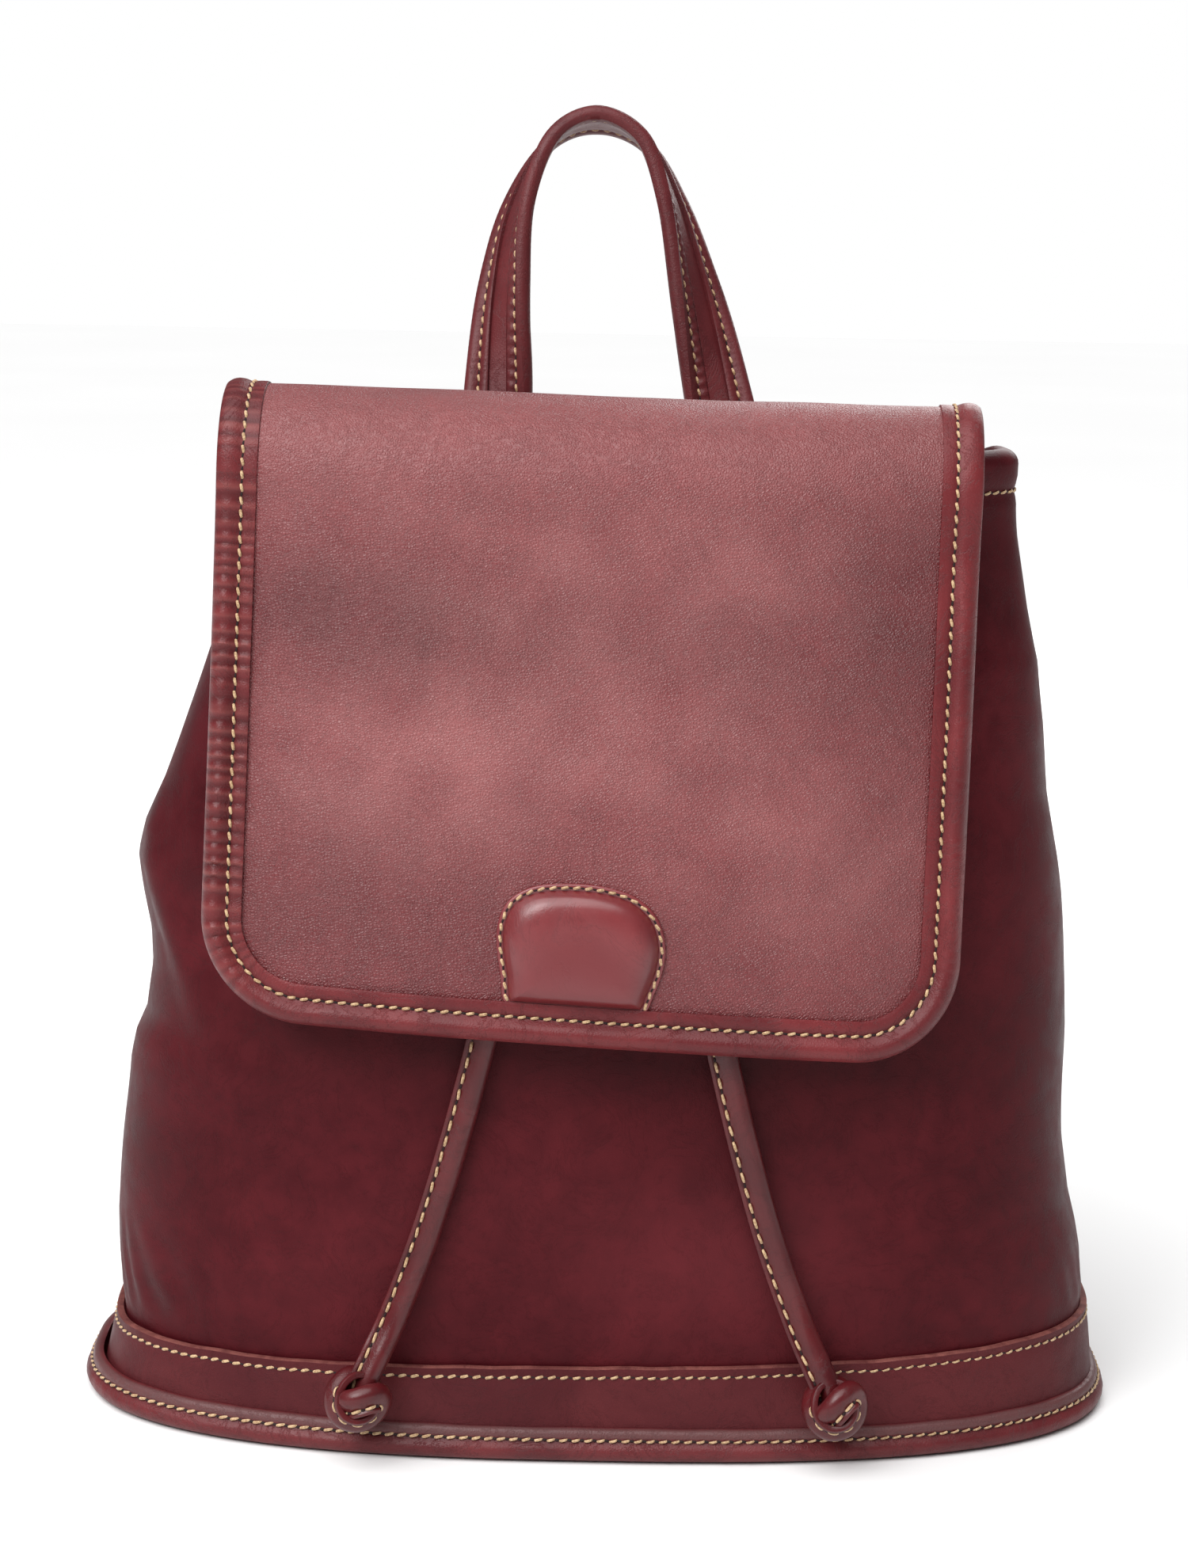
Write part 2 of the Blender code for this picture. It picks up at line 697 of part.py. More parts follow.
# ---------------------------------------------------------------- handle
def build_handle(pivot):
    lean = math.radians(HANDLE_LEAN_DEG)
    up = Vector((0.0, math.sin(lean), math.cos(lean)))
    back = Vector((0.0, math.cos(lean), -math.sin(lean)))
    foot = Vector((0.0, HANDLE_FOOT_Y, HANDLE_FOOT_Z))
    arch = Path(spline(HANDLE_ARCH, 8))
    apex = max(range(len(arch.points)), key=lambda index: arch.points[index].y)
    apex_mark = arch.marks[apex]
    edge, web = HANDLE_EDGE_THICK / 2, HANDLE_WEB_THICK / 2
    half = HANDLE_WIDTH / 2
    section = (
        (-half, 0.0), (-half + 0.0012, edge * 0.85), (-half + 0.0032, edge), (-half + 0.0055, web),
        (half - 0.0055, web), (half - 0.0032, edge), (half - 0.0012, edge * 0.85),
        (half, 0.0), (half - 0.0012, -edge * 0.85), (half - 0.0040, -web), (-half + 0.0040, -web),
        (-half + 0.0012, -edge * 0.85),
    )
    rings = []
    count = 36
    for step in range(count + 1):
        mark = arch.length * step / count
        place, along = arch.at(mark), arch.tangent(mark)
        distance = abs(mark - apex_mark)
        turn = math.radians(90.0) * max(0.0, 1.0 - (distance / HANDLE_TWIST_LENGTH) ** 1.3)
        side = Vector((-along.y, 0.0, 0.0)) + up * along.x
        wide = side * math.cos(turn) + back * math.sin(turn)
        forward = Vector((along.x, 0.0, 0.0)) + up * along.y
        normal = forward.cross(wide).normalized()
        centre = foot + Vector((place.x, 0.0, 0.0)) + up * place.y
        rings.append([centre + wide * across + normal * out for across, out in section])
    add_loft("handle_strap", rings, RED, pivot)


# ---------------------------------------------------------------- shoulder straps
class StrapPlane:
    """The plane through both ends of one shoulder strap, with the strap's path in it."""

    def __init__(self, side):
        self.top = Vector((side * STRAP_TOP[0], STRAP_TOP[1], STRAP_TOP[2]))
        foot = Vector((side * STRAP_FOOT[0], STRAP_FOOT[1], STRAP_FOOT[2]))
        self.chord = (foot - self.top).normalized()
        back = Vector((0.0, 1.0, 0.0))
        self.back = (back - self.chord * back.dot(self.chord)).normalized()
        self.wide = self.chord.cross(self.back).normalized() * side
        self.path = Path(spline(STRAP_BELLY, 8))

    def normal(self, mark):
        along = self.path.tangent(mark, 0.004)
        return Vector((-along.y, along.x))

    def point(self, mark, out, across):
        """A point at distance MARK along the path, OUT from it and ACROSS the strap."""
        flat = self.path.at(mark) + self.normal(mark) * out
        return self.lift(flat, across)

    def lift(self, flat, across):
        return self.top + self.chord * flat.x + self.back * flat.y + self.wide * across


def ribbon_rings(plane, track, thickness, widths):
    """Rings of a flat strap whose middle follows TRACK, a list of (mark, out) pairs."""
    flats = [plane.path.at(mark) + plane.normal(mark) * out for mark, out in track]
    rings = []
    for index, flat in enumerate(flats):
        before, after = flats[max(index - 1, 0)], flats[min(index + 1, len(flats) - 1)]
        along = (after - before).normalized()
        normal = Vector((-along.y, along.x)) * (thickness / 2)
        half = widths[index] / 2
        ring = []
        for sign, edge in ((1, -half), (1, half), (-1, half), (-1, -half)):
            ring.append(plane.lift(flat + normal * sign, edge))
        rings.append(ring)
    return rings


def build_strap(side, word, pivot, prong_pivot):
    plane = StrapPlane(side)
    heel = BUCKLE_AT
    front = heel + BUCKLE_LENGTH

    # Upper strap: runs down to the buckle's heel bar, folds round it and returns on the inside.
    track = [(heel * step / 24, FOLD_RADIUS) for step in range(24)]
    for step in range(9):
        angle = math.radians(90.0 - 22.5 * step)
        track.append((heel + FOLD_RADIUS * math.cos(angle), FOLD_RADIUS * math.sin(angle)))
    track += [(heel - FOLD_RETURN * step / 4, -FOLD_RADIUS) for step in range(1, 5)]
    widths = []
    for mark, _ in track:
        full = smoothstep(0.0, 0.050, mark) * (1.0 - smoothstep(0.15, heel - 0.010, mark))
        widths.append(STRAP_END_WIDTH + (UPPER_STRAP_WIDTH - STRAP_END_WIDTH) * full)
    strap = add_loft(f"shoulder_strap_{word}", ribbon_rings(plane, track, STRAP_THICK, widths), RED, pivot)
    centre = plane.point(heel, 0.0, 0.0)
    along = (plane.point(heel + 0.002, 0.0, 0.0) - plane.point(heel - 0.002, 0.0, 0.0)).normalized()
    out = plane.wide.cross(along) * side
    axes = (along, out, plane.wide)
    slot = box_cutter(f"prong_slot_{word}", centre, (0.0075, 0.0080, FOLD_SLOT / 2), axes)
    cut(strap, slot)

    # Buckle: a rounded wire rectangle whose heel bar lies in the fold.
    corner = 0.0030
    outline = []
    corners = (
        (front - corner, BUCKLE_HALF_WIDTH - corner, 0), (heel + corner, BUCKLE_HALF_WIDTH - corner, 90),
        (heel + corner, -BUCKLE_HALF_WIDTH + corner, 180), (front - corner, -BUCKLE_HALF_WIDTH + corner, 270),
    )
    for mark, across, start in corners:
        for step in range(4):
            angle = math.radians(start + 30.0 * step)
            outline.append((mark + corner * math.cos(angle), across + corner * math.sin(angle)))
    ring = [plane.point(mark, 0.0, across) for mark, across in outline]
    add_tube(f"buckle_frame_{word}", ring, BUCKLE_WIRE, METAL, pivot, cyclic=True, resolution=1)

    # Prong: hooked round the heel bar, lying on top of the front bar.
    hook = BUCKLE_WIRE + PRONG_WIRE + 0.0003
    places = []
    for step in range(8):
        angle = math.radians(-160.0 + 250.0 * step / 7)
        places.append((heel - hook * math.cos(angle), hook * math.sin(angle)))
    places = [(2 * heel - mark, level) for mark, level in places]
    places += [(heel + 0.008, hook + 0.0002), (front + 0.0018, hook)]
    prong = [plane.lift(plane.path.at(heel), 0.0) + along * (mark - heel) + out * level for mark, level in places]
    add_tube(f"buckle_prong_{word}", prong, PRONG_WIRE, METAL, prong_pivot, resolution=1)
    return axes


def build_lower_strap(plane, word, pivot, axes):
    """The narrow strap: sewn in at the base corner, up under the front bar and over the upper strap."""
    front = BUCKLE_AT + BUCKLE_LENGTH
    total = plane.path.length
    under = -(BUCKLE_WIRE + STRAP_THICK / 2 + GAP)
    over = FOLD_RADIUS + STRAP_THICK + GAP
    inside = front - STRAP_RISE_INSET
    track = [(total - (total - inside) * step / 16, under) for step in range(17)]
    climb = inside - BUCKLE_AT + STRAP_RISE_INSET / 2
    for step in range(1, 6):
        share = step / 5
        track.append((inside - climb * share, under + (over - under) * smoothstep(0.0, 1.0, share)))
    tip = BUCKLE_AT - OVERLAP
    start = track[-1][0]
    track += [(start + (tip - start) * step / 6, over) for step in range(1, 7)]
    hole = (BUCKLE_AT + BUCKLE_LENGTH * 0.42, BUCKLE_WIRE)
    widths = [LOWER_STRAP_WIDTH] * (len(track) - 1) + [LOWER_STRAP_WIDTH * 0.6]
    rings = ribbon_rings(plane, track, STRAP_THICK * 0.8, widths)
    strap = add_loft(f"lower_strap_{word}", rings, RED, pivot)
    cut(strap, box_cutter(f"prong_hole_{word}", plane.point(*hole, 0.0), (0.0062, 0.0060, 0.0021), axes))


def build_keeper(plane, word, pivot):
    """A leather loop round the upper strap and the lower strap's free end."""
    mark = BUCKLE_AT - KEEPER_BACK
    low = -FOLD_RADIUS - STRAP_THICK / 2 - GAP
    high = FOLD_RADIUS + STRAP_THICK * 1.9 + 2 * GAP
    half = UPPER_STRAP_WIDTH / 2 - 0.0020
    inner = ((low, -half), (low, half), (high, half), (high, -half))
    rings = []
    for out, across in inner:
        out_sign = 1 if out > 0 else -1
        across_sign = 1 if across > 0 else -1
        ring = []
        for grow, shift in ((0, -1), (KEEPER_WALL, -1), (KEEPER_WALL, 1), (0, 1)):
            place = mark + shift * KEEPER_WIDTH / 2
            ring.append(plane.point(place, out + out_sign * grow, across + across_sign * grow))
        rings.append(ring)
    add_loft(f"strap_keeper_{word}", rings, RED, pivot, cyclic=True)


# ---------------------------------------------------------------- drawstring ends
def build_cord(side, word, pivot):
    route = [(side * x, y, z) for x, y, z in CORD_ROUTE]
    add_tube(f"drawstring_{word}", spline(route, 4), CORD_RADIUS, DARK, pivot)
    mesh = bpy.data.meshes.new(f"knot_{word}")
    shape = bmesh.new()
    bmesh.ops.create_uvsphere(shape, u_segments=16, v_segments=10, radius=KNOT_RADIUS)
    centre = Vector((side * KNOT_CENTRE[0], KNOT_CENTRE[1], KNOT_CENTRE[2]))
    for vertex in shape.verts:
        vertex.co = Vector((vertex.co.x * 0.95, vertex.co.y * 0.88, vertex.co.z)) + centre
    shape.to_mesh(mesh)
    shape.free()
    add_object(f"knot_{word}", mesh, DARK, pivot)


clear_scene()
PARTS = make_collection(COLLECTION)
CUTTERS = make_collection("cutters")
RED = make_material("burgundy_leather", LEATHER_RED, 0.42)
DARK = make_material("dark_burgundy_leather", LEATHER_DARK, 0.38)
BOARD = make_material("fibre_board", BOARD_GREY, 0.80)
FOAM = make_material("foam", FOAM_GREY, 0.90)
METAL = make_material("brass", BRASS, 0.30, 1.0)
FLAP_PATH = flap_profile()

build_base()
build_body()
build_back()
build_flap(add_pivot("flap_pivot", (0.0, 0.0655, 0.2900)))
build_handle(add_pivot("handle_pivot", (0.0, HANDLE_FOOT_Y, HANDLE_FOOT_Z)))
for strap_side, strap_word in ((-1, "left"), (1, "right")):
    strap_plane = StrapPlane(strap_side)
    strap_pivot = add_pivot(f"strap_pivot_{strap_word}", strap_plane.top)
    heel_pivot = add_pivot(f"prong_pivot_{strap_word}", strap_plane.point(BUCKLE_AT, 0.0, 0.0))
    strap_axes = build_strap(strap_side, strap_word, strap_pivot, heel_pivot)
    build_lower_strap(strap_plane, strap_word, strap_pivot, strap_axes)
    build_keeper(strap_plane, strap_word, strap_pivot)
    exit_point = (strap_side * CORD_ROUTE[0][0], CORD_ROUTE[0][1], CORD_ROUTE[0][2])
    build_cord(strap_side, strap_word, add_pivot(f"cord_pivot_{strap_word}", exit_point))
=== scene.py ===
"""Looks of the leather drawstring backpack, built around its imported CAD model.

The CAD frame gives places and bodies. Every visible piece is made here again as leather, thread or metal:
rolled and puckered edges, gathered hem, stitch rows, knotted cords and buckled straps. Metres, +Z up.
"""

import json
import math

import bpy
import numpy as np
from mathutils import Matrix, Vector


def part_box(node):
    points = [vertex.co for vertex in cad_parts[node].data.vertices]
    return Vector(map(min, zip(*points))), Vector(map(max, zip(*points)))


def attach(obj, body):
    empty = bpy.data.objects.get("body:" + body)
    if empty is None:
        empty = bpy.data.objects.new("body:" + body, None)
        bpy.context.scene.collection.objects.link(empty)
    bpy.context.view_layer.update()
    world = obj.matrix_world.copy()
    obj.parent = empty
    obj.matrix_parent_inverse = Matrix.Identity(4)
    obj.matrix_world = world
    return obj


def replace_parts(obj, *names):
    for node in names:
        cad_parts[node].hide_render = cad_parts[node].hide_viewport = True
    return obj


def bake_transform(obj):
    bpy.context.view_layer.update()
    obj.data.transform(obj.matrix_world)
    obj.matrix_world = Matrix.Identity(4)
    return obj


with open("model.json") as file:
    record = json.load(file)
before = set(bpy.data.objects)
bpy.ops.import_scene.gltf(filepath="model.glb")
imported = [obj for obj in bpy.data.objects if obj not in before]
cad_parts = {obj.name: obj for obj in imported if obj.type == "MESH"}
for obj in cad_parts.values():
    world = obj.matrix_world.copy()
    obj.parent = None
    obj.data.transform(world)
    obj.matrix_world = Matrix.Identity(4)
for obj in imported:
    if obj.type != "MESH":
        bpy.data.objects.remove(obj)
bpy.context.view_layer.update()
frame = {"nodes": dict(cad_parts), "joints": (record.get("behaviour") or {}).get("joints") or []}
JOINTS = {joint["name"]: joint for joint in frame["joints"]}

# ---------------------------------------------------------------- sizes shared with the CAD model
LEATHER = 0.0018
PLAN_POWER = 2.6
BACK_POWER_TOP = 6.0
BODY_LOW, BODY_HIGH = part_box("body_wrap")
BODY_BOTTOM = BODY_LOW.z
RIM_HEIGHT = BODY_HIGH.z
RIM_BACK_DROP = 0.0090
SEAM_DEG = 100.0
# Body sections: height, half width, reach to the front, reach to the back.
BODY_STATIONS = np.array((
    (0.0000, 0.1500, 0.0665, 0.0665),
    (0.0450, 0.1500, 0.0680, 0.0675),
    (0.1000, 0.1455, 0.0690, 0.0680),
    (0.1650, 0.1410, 0.0650, 0.0670),
    (0.2300, 0.1270, 0.0550, 0.0640),
    (0.2720, 0.1215, 0.0490, 0.0620),
    (0.2970, 0.1215, 0.0460, 0.0605),
))
HEM_REACH = 0.0098
HEM_SEAM_DROP = 0.0122
BASE_HALF_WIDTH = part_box("base_binding")[1].x
BASE_HALF_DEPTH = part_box("base_binding")[1].y
BAND_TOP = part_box("base_band")[1].z
BAND_FLARE = 0.0046
BAND_ROW_DROP = 0.0029

# Side swells of the body: height, left side out, right side out, in millimetres.
SIDE_SWELLS = np.array((
    (0.000, -1.0, 0.5), (0.023, -2.4, 1.5), (0.036, -1.3, 1.8), (0.047, -0.4, 1.3), (0.055, 0.2, 0.6),
    (0.066, 0.3, -1.2), (0.084, 0.2, -1.7), (0.105, -0.2, -0.6), (0.112, -1.4, -0.2), (0.120, -4.6, 0.1),
    (0.135, -6.1, 0.2), (0.146, -5.0, 0.2), (0.158, -1.7, 0.1), (0.169, 0.9, 0.1), (0.179, 0.4, 0.1),
    (0.192, -2.3, 0.3), (0.213, -4.4, 2.6), (0.232, -6.6, 3.6), (0.249, -9.6, 1.6), (0.270, -10.6, 0.0),
    (0.300, -10.8, -0.8),
))
MM = 0.001
# How far under the rim the hem's waves are read, and how far down the drawstring runs in it.
WAVE_DROP = 0.018
HEM_CORD_DROP = 0.0080

# ---------------------------------------------------------------- small maths
def smooth(low, high, value):
    share = np.clip((np.asarray(value, float) - low) / (high - low), 0.0, 1.0)
    return share * share * (3.0 - 2.0 * share)


def bump(centre, half, value):
    """1 at the centre, falling smoothly to 0 at HALF away from it."""
    return 1.0 - smooth(0.0, half, np.abs(np.asarray(value, float) - centre))


def ripple(points, wavelength, seed):
    """Smooth noise between about -1 and 1 for an array of points: a sum of waves in seeded directions."""
    random = np.random.default_rng(seed)
    total = np.zeros(np.shape(points)[:-1])
    waves = 7
    for _ in range(waves):
        direction = random.normal(size=np.shape(points)[-1])
        direction /= np.linalg.norm(direction)
        stretch = random.uniform(0.7, 1.5)
        phase = random.uniform(0, 2 * math.pi)
        total += np.sin((points @ direction) * 2 * math.pi / (wavelength * stretch) + phase)
    return total / math.sqrt(2 * waves)


def hermite(t, start, end, slope_start, slope_end):
    """The cubic from START to END that leaves and arrives with the given slopes."""
    return (
        (2 * t**3 - 3 * t**2 + 1) * start + (t**3 - 2 * t**2 + t) * slope_start
        + (3 * t**2 - 2 * t**3) * end + (t**3 - t**2) * slope_end
    )


def curve(points, per_span):
    """Catmull-Rom curve through points, as an array."""
    nodes = np.array(points, float)
    padded = np.vstack((2 * nodes[0] - nodes[1], nodes, 2 * nodes[-1] - nodes[-2]))
    result = []
    for index in range(len(nodes) - 1):
        p0, p1, p2, p3 = padded[index:index + 4]
        t = (np.arange(per_span) / per_span)[:, None]
        result.append(hermite(t, p1, p2, 0.5 * (p2 - p0), 0.5 * (p3 - p1)))
    return np.vstack(result + [nodes[-1:]])


def lengths(points):
    """Distance along a polyline at each of its points."""
    return np.concatenate(([0.0], np.cumsum(np.linalg.norm(np.diff(points, axis=0), axis=1))))


def resample(points, marks):
    """A polyline read at given distances along it."""
    along = lengths(points)
    return np.stack([np.interp(marks, along, points[:, axis]) for axis in range(points.shape[1])], axis=1)


def unit(vectors):
    return vectors / np.maximum(np.linalg.norm(vectors, axis=-1, keepdims=True), 1e-12)


def tangents(points, cyclic=False):
    if cyclic:
        return unit(np.roll(points, -1, axis=0) - np.roll(points, 1, axis=0))
    return unit(np.gradient(points, axis=0))


# ---------------------------------------------------------------- mesh builders
def piece(name, verts, faces, materials, body, face_material=None, sharp=38.0):
    """A finished mesh that rides on a CAD body."""
    mesh = bpy.data.meshes.new(name)
    mesh.from_pydata([tuple(v) for v in np.asarray(verts).tolist()], [], faces)
    for material in materials:
        mesh.materials.append(material)
    if face_material is not None:
        mesh.polygons.foreach_set("material_index", np.asarray(face_material, np.int32))
    mesh.shade_smooth()
    mesh.set_sharp_from_angle(angle=math.radians(sharp))
    obj = bpy.data.objects.new(name, mesh)
    bpy.context.scene.collection.objects.link(obj)
    if body is not None:
        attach(obj, body)
    return obj


def shade(obj, name, values):
    """A soft per-point value that the leather's material reads."""
    attribute = obj.data.attributes.new(name, "FLOAT", "POINT")
    attribute.data.foreach_set("value", np.asarray(values, np.float32).ravel())


def grid_faces(rows, columns, cyclic=False, offset=0, flip=False):
    faces = []
    last = columns if cyclic else columns - 1
    for row in range(rows - 1):
        for column in range(last):
            after = (column + 1) % columns
            a, b = offset + row * columns + column, offset + row * columns + after
            c, d = offset + (row + 1) * columns + after, offset + (row + 1) * columns + column
            faces.append((d, c, b, a) if flip else (a, b, c, d))
    return faces


def grid_normals(grid, cyclic=False):
    if cyclic:
        across = np.roll(grid, -1, axis=1) - np.roll(grid, 1, axis=1)
    else:
        across = np.gradient(grid, axis=1)
    return unit(np.cross(across, np.gradient(grid, axis=0)))


def sheet_mesh(grid, thickness, cyclic=False):
    """A closed leather sheet: GRID is its outer face, THICKNESS goes behind it."""
    rows, columns = grid.shape[:2]
    inner = grid - grid_normals(grid, cyclic) * thickness
    count = rows * columns
    verts = np.vstack((grid.reshape(-1, 3), inner.reshape(-1, 3)))
    faces = grid_faces(rows, columns, cyclic) + grid_faces(rows, columns, cyclic, count, True)
    last = columns if cyclic else columns - 1
    top = (rows - 1) * columns
    for column in range(last):
        after = (column + 1) % columns
        faces.append((after, column, count + column, count + after))
        faces.append((top + column, top + after, count + top + after, count + top + column))
    if not cyclic:
        for row in range(rows - 1):
            low, high = row * columns, (row + 1) * columns
            faces.append((low, high, count + high, count + low))
            low, high = low + columns - 1, high + columns - 1
            faces.append((high, low, count + low, count + high))
    return verts, faces


def loft_mesh(rings, cyclic=False):
    """A closed solid through rings of points, an array of ring, point, xyz."""
    rings = np.asarray(rings, float)
    count, points = rings.shape[:2]
    faces = []
    for ring in range(count if cyclic else count - 1):
        following = (ring + 1) % count
        for index in range(points):
            after = (index + 1) % points
            faces.append((
                ring * points + index, ring * points + after,
                following * points + after, following * points + index,
            ))
    if not cyclic:
        faces.append(tuple(reversed(range(points))))
        faces.append(tuple(range((count - 1) * points, count * points)))
    return rings.reshape(-1, 3), faces


def outward(verts, faces):
    """The same faces, turned to point out of the solid."""
    verts = np.asarray(verts, float)
    volume = 0.0
    for face in faces:
        first = verts[face[0]]
        for left, right in zip(face[1:-1], face[2:]):
            volume += np.dot(first, np.cross(verts[left], verts[right]))
    return faces if volume > 0 else [tuple(reversed(face)) for face in faces]


def loft(name, rings, materials, body, cyclic=False, sharp=38.0):
    verts, faces = loft_mesh(rings, cyclic)
    return piece(name, verts, outward(verts, faces), materials, body, sharp=sharp)


def sweep(line, across, out, section):
    """Rings of SECTION, (across, out) pairs, along LINE."""
    section = np.asarray(section, float)
    if section.ndim == 2:
        section = np.broadcast_to(section, (len(line),) + section.shape)
    return (
        line[:, None, :] + across[:, None, :] * section[:, :, 0:1] + out[:, None, :] * section[:, :, 1:2]
    )


def rounded(points, per_span=3):
    """A closed section with its corners smoothed."""
    nodes = np.array(points, float)
    count = len(nodes)
    result = []
    for index in range(count):
        p0, p1, p2, p3 = (nodes[(index + shift) % count] for shift in (-1, 0, 1, 2))
        for step in range(per_span):
            result.append(hermite(step / per_span, p1, p2, 0.5 * (p2 - p0), 0.5 * (p3 - p1)))
    return np.array(result)


# ---------------------------------------------------------------- stitches
THREAD_PITCH = 0.0037
THREAD_HALF = 0.00043


def stitches(name, line, out, body, pitch=THREAD_PITCH, slant_deg=14.0, size=1.0, cyclic=False):
    """A row of thread stitches on LINE, whose surface faces along OUT, with a needle hole between two."""
    random = np.random.default_rng(len(name) * 131 + len(line))
    along = lengths(line)
    count = max(2, round(along[-1] / pitch))
    step = along[-1] / count
    half = THREAD_HALF * size
    verts, faces, kinds = [], [], []
    profile = (
        (-0.50, -0.9), (-0.40, 0.15), (-0.22, 0.62), (0.0, 0.75), (0.22, 0.62), (0.40, 0.15), (0.50, -0.9),
    )
    widths = (0.55, 0.85, 1.0, 1.05, 1.0, 0.85, 0.55)
    sides = 6
    for index in range(count):
        mark = step * (index + 0.5)
        span = step * 0.70
        places = resample(line, mark + np.linspace(-0.5, 0.5, 3) * span)
        centre = places[1]
        ahead = unit(places[2] - places[0])
        share = mark / along[-1] * (len(line) - 1)
        low = int(min(share, len(line) - 2))
        normal = unit(out[low] * (1 - share + low) + out[low + 1] * (share - low))
        side = unit(np.cross(normal, ahead))
        turn = math.radians(slant_deg + random.uniform(-3, 3))
        direction = ahead * math.cos(turn) + side * math.sin(turn)
        side = unit(np.cross(normal, direction))
        base = len(verts)
        for (where, rise), wide in zip(profile, widths):
            middle = centre + direction * (where * span) + normal * (rise * half)
            for corner in range(sides):
                angle = 2 * math.pi * corner / sides
                verts.append(
                    middle + side * (math.cos(angle) * half * wide)
                    + normal * (math.sin(angle) * half * wide * 0.8)
                )
        for ring in range(len(profile) - 1):
            for corner in range(sides):
                after = (corner + 1) % sides
                a, b = base + ring * sides + corner, base + ring * sides + after
                faces.append((b, a, a + sides, b + sides))
                kinds.append(0)
        faces.append(tuple(base + corner for corner in range(sides)))
        faces.append(tuple(base + (len(profile) - 1) * sides + corner for corner in reversed(range(sides))))
        kinds += [0, 0]
        # Needle hole: a shallow dimple, dark with painted shade, between this stitch and the next.
        hole = resample(line, np.array([step * (index + 1.0)]))[0]
        base = len(verts)
        verts.append(hole + normal * 0.00016 * size)
        ring = 8
        for level, reach in ((0.00011, 0.62), (-0.0004, 1.05)):
            for corner in range(ring):
                angle = 2 * math.pi * corner / ring
                verts.append(
                    hole + normal * level * size
                    + (ahead * math.cos(angle) * 1.9 + side * math.sin(angle)) * (half * reach * 1.1)
                )
        for corner in range(ring):
            after = (corner + 1) % ring
            faces.append((base, base + 1 + corner, base + 1 + after))
            faces.append((
                base + 1 + corner, base + 1 + ring + corner, base + 1 + ring + after, base + 1 + after,
            ))
            kinds += [1, 1]
        faces.append(tuple(base + 1 + ring + corner for corner in reversed(range(ring))))
        kinds.append(1)
    return piece(name, verts, faces, [THREAD, HOLE_SHADE], body, face_material=kinds, sharp=60.0)


# ---------------------------------------------------------------- materials
class Tree:
    """Short calls for building one material's nodes."""

    def __init__(self, name):
        self.material = bpy.data.materials.new(name)
        self.material.use_nodes = True
        self.nodes = self.material.node_tree.nodes
        self.links = self.material.node_tree.links
        self.shader = self.nodes["Principled BSDF"]

    def add(self, kind, settings=None, **inputs):
        node = self.nodes.new(kind)
        for key, value in (settings or {}).items():
            setattr(node, key, value)
        for key, value in inputs.items():
            self.put(node.inputs[key.replace("_", " ")], value)
        return node

    def put(self, socket, value):
        if isinstance(value, bpy.types.NodeSocket):
            self.links.new(value, socket)
        else:
            socket.default_value = value

    def noise(self, where, scale, detail=3.0, roughness=0.5, distortion=0.0):
        node = self.add(
            "ShaderNodeTexNoise", Vector=where, Scale=scale, Detail=detail,
            Roughness=roughness, Distortion=distortion,
        )
        return node.outputs["Fac"]

    def remap(self, value, low, high, to_low=0.0, to_high=1.0):
        node = self.add("ShaderNodeMapRange", {"interpolation_type": "SMOOTHSTEP"}, Value=value)
        node.inputs["From Min"].default_value = low
        node.inputs["From Max"].default_value = high
        node.inputs["To Min"].default_value = to_low
        node.inputs["To Max"].default_value = to_high
        return node.outputs["Result"]

    def maths(self, operation, first, second=0.0):
        node = self.add("ShaderNodeMath", {"operation": operation})
        self.put(node.inputs[0], first)
        self.put(node.inputs[1], second)
        return node.outputs[0]

    def mix(self, share, first, second):
        node = self.add("ShaderNodeMix", {"data_type": "RGBA"})
        self.put(node.inputs[0], share)
        self.put(node.inputs[6], first)
        self.put(node.inputs[7], second)
        return node.outputs[2]

    def attribute(self, name):
        return self.add("ShaderNodeAttribute", {"attribute_name": name}).outputs["Fac"]

    def relief(self, height, distance, strength=1.0, under=None):
        node = self.add("ShaderNodeBump", Height=height, Distance=distance, Strength=strength)
        if under is not None:
            self.put(node.inputs["Normal"], under)
        return node.outputs["Normal"]

    def finish(self, colour, roughness, normal, **constants):
        self.put(self.shader.inputs["Base Color"], colour)
        self.put(self.shader.inputs["Roughness"], roughness)
        self.put(self.shader.inputs["Normal"], normal)
        for key, value in constants.items():
            self.shader.inputs[key.replace("_", " ")].default_value = value
        return self.material


def rgb(red, green, blue):
    return (red, green, blue, 1.0)


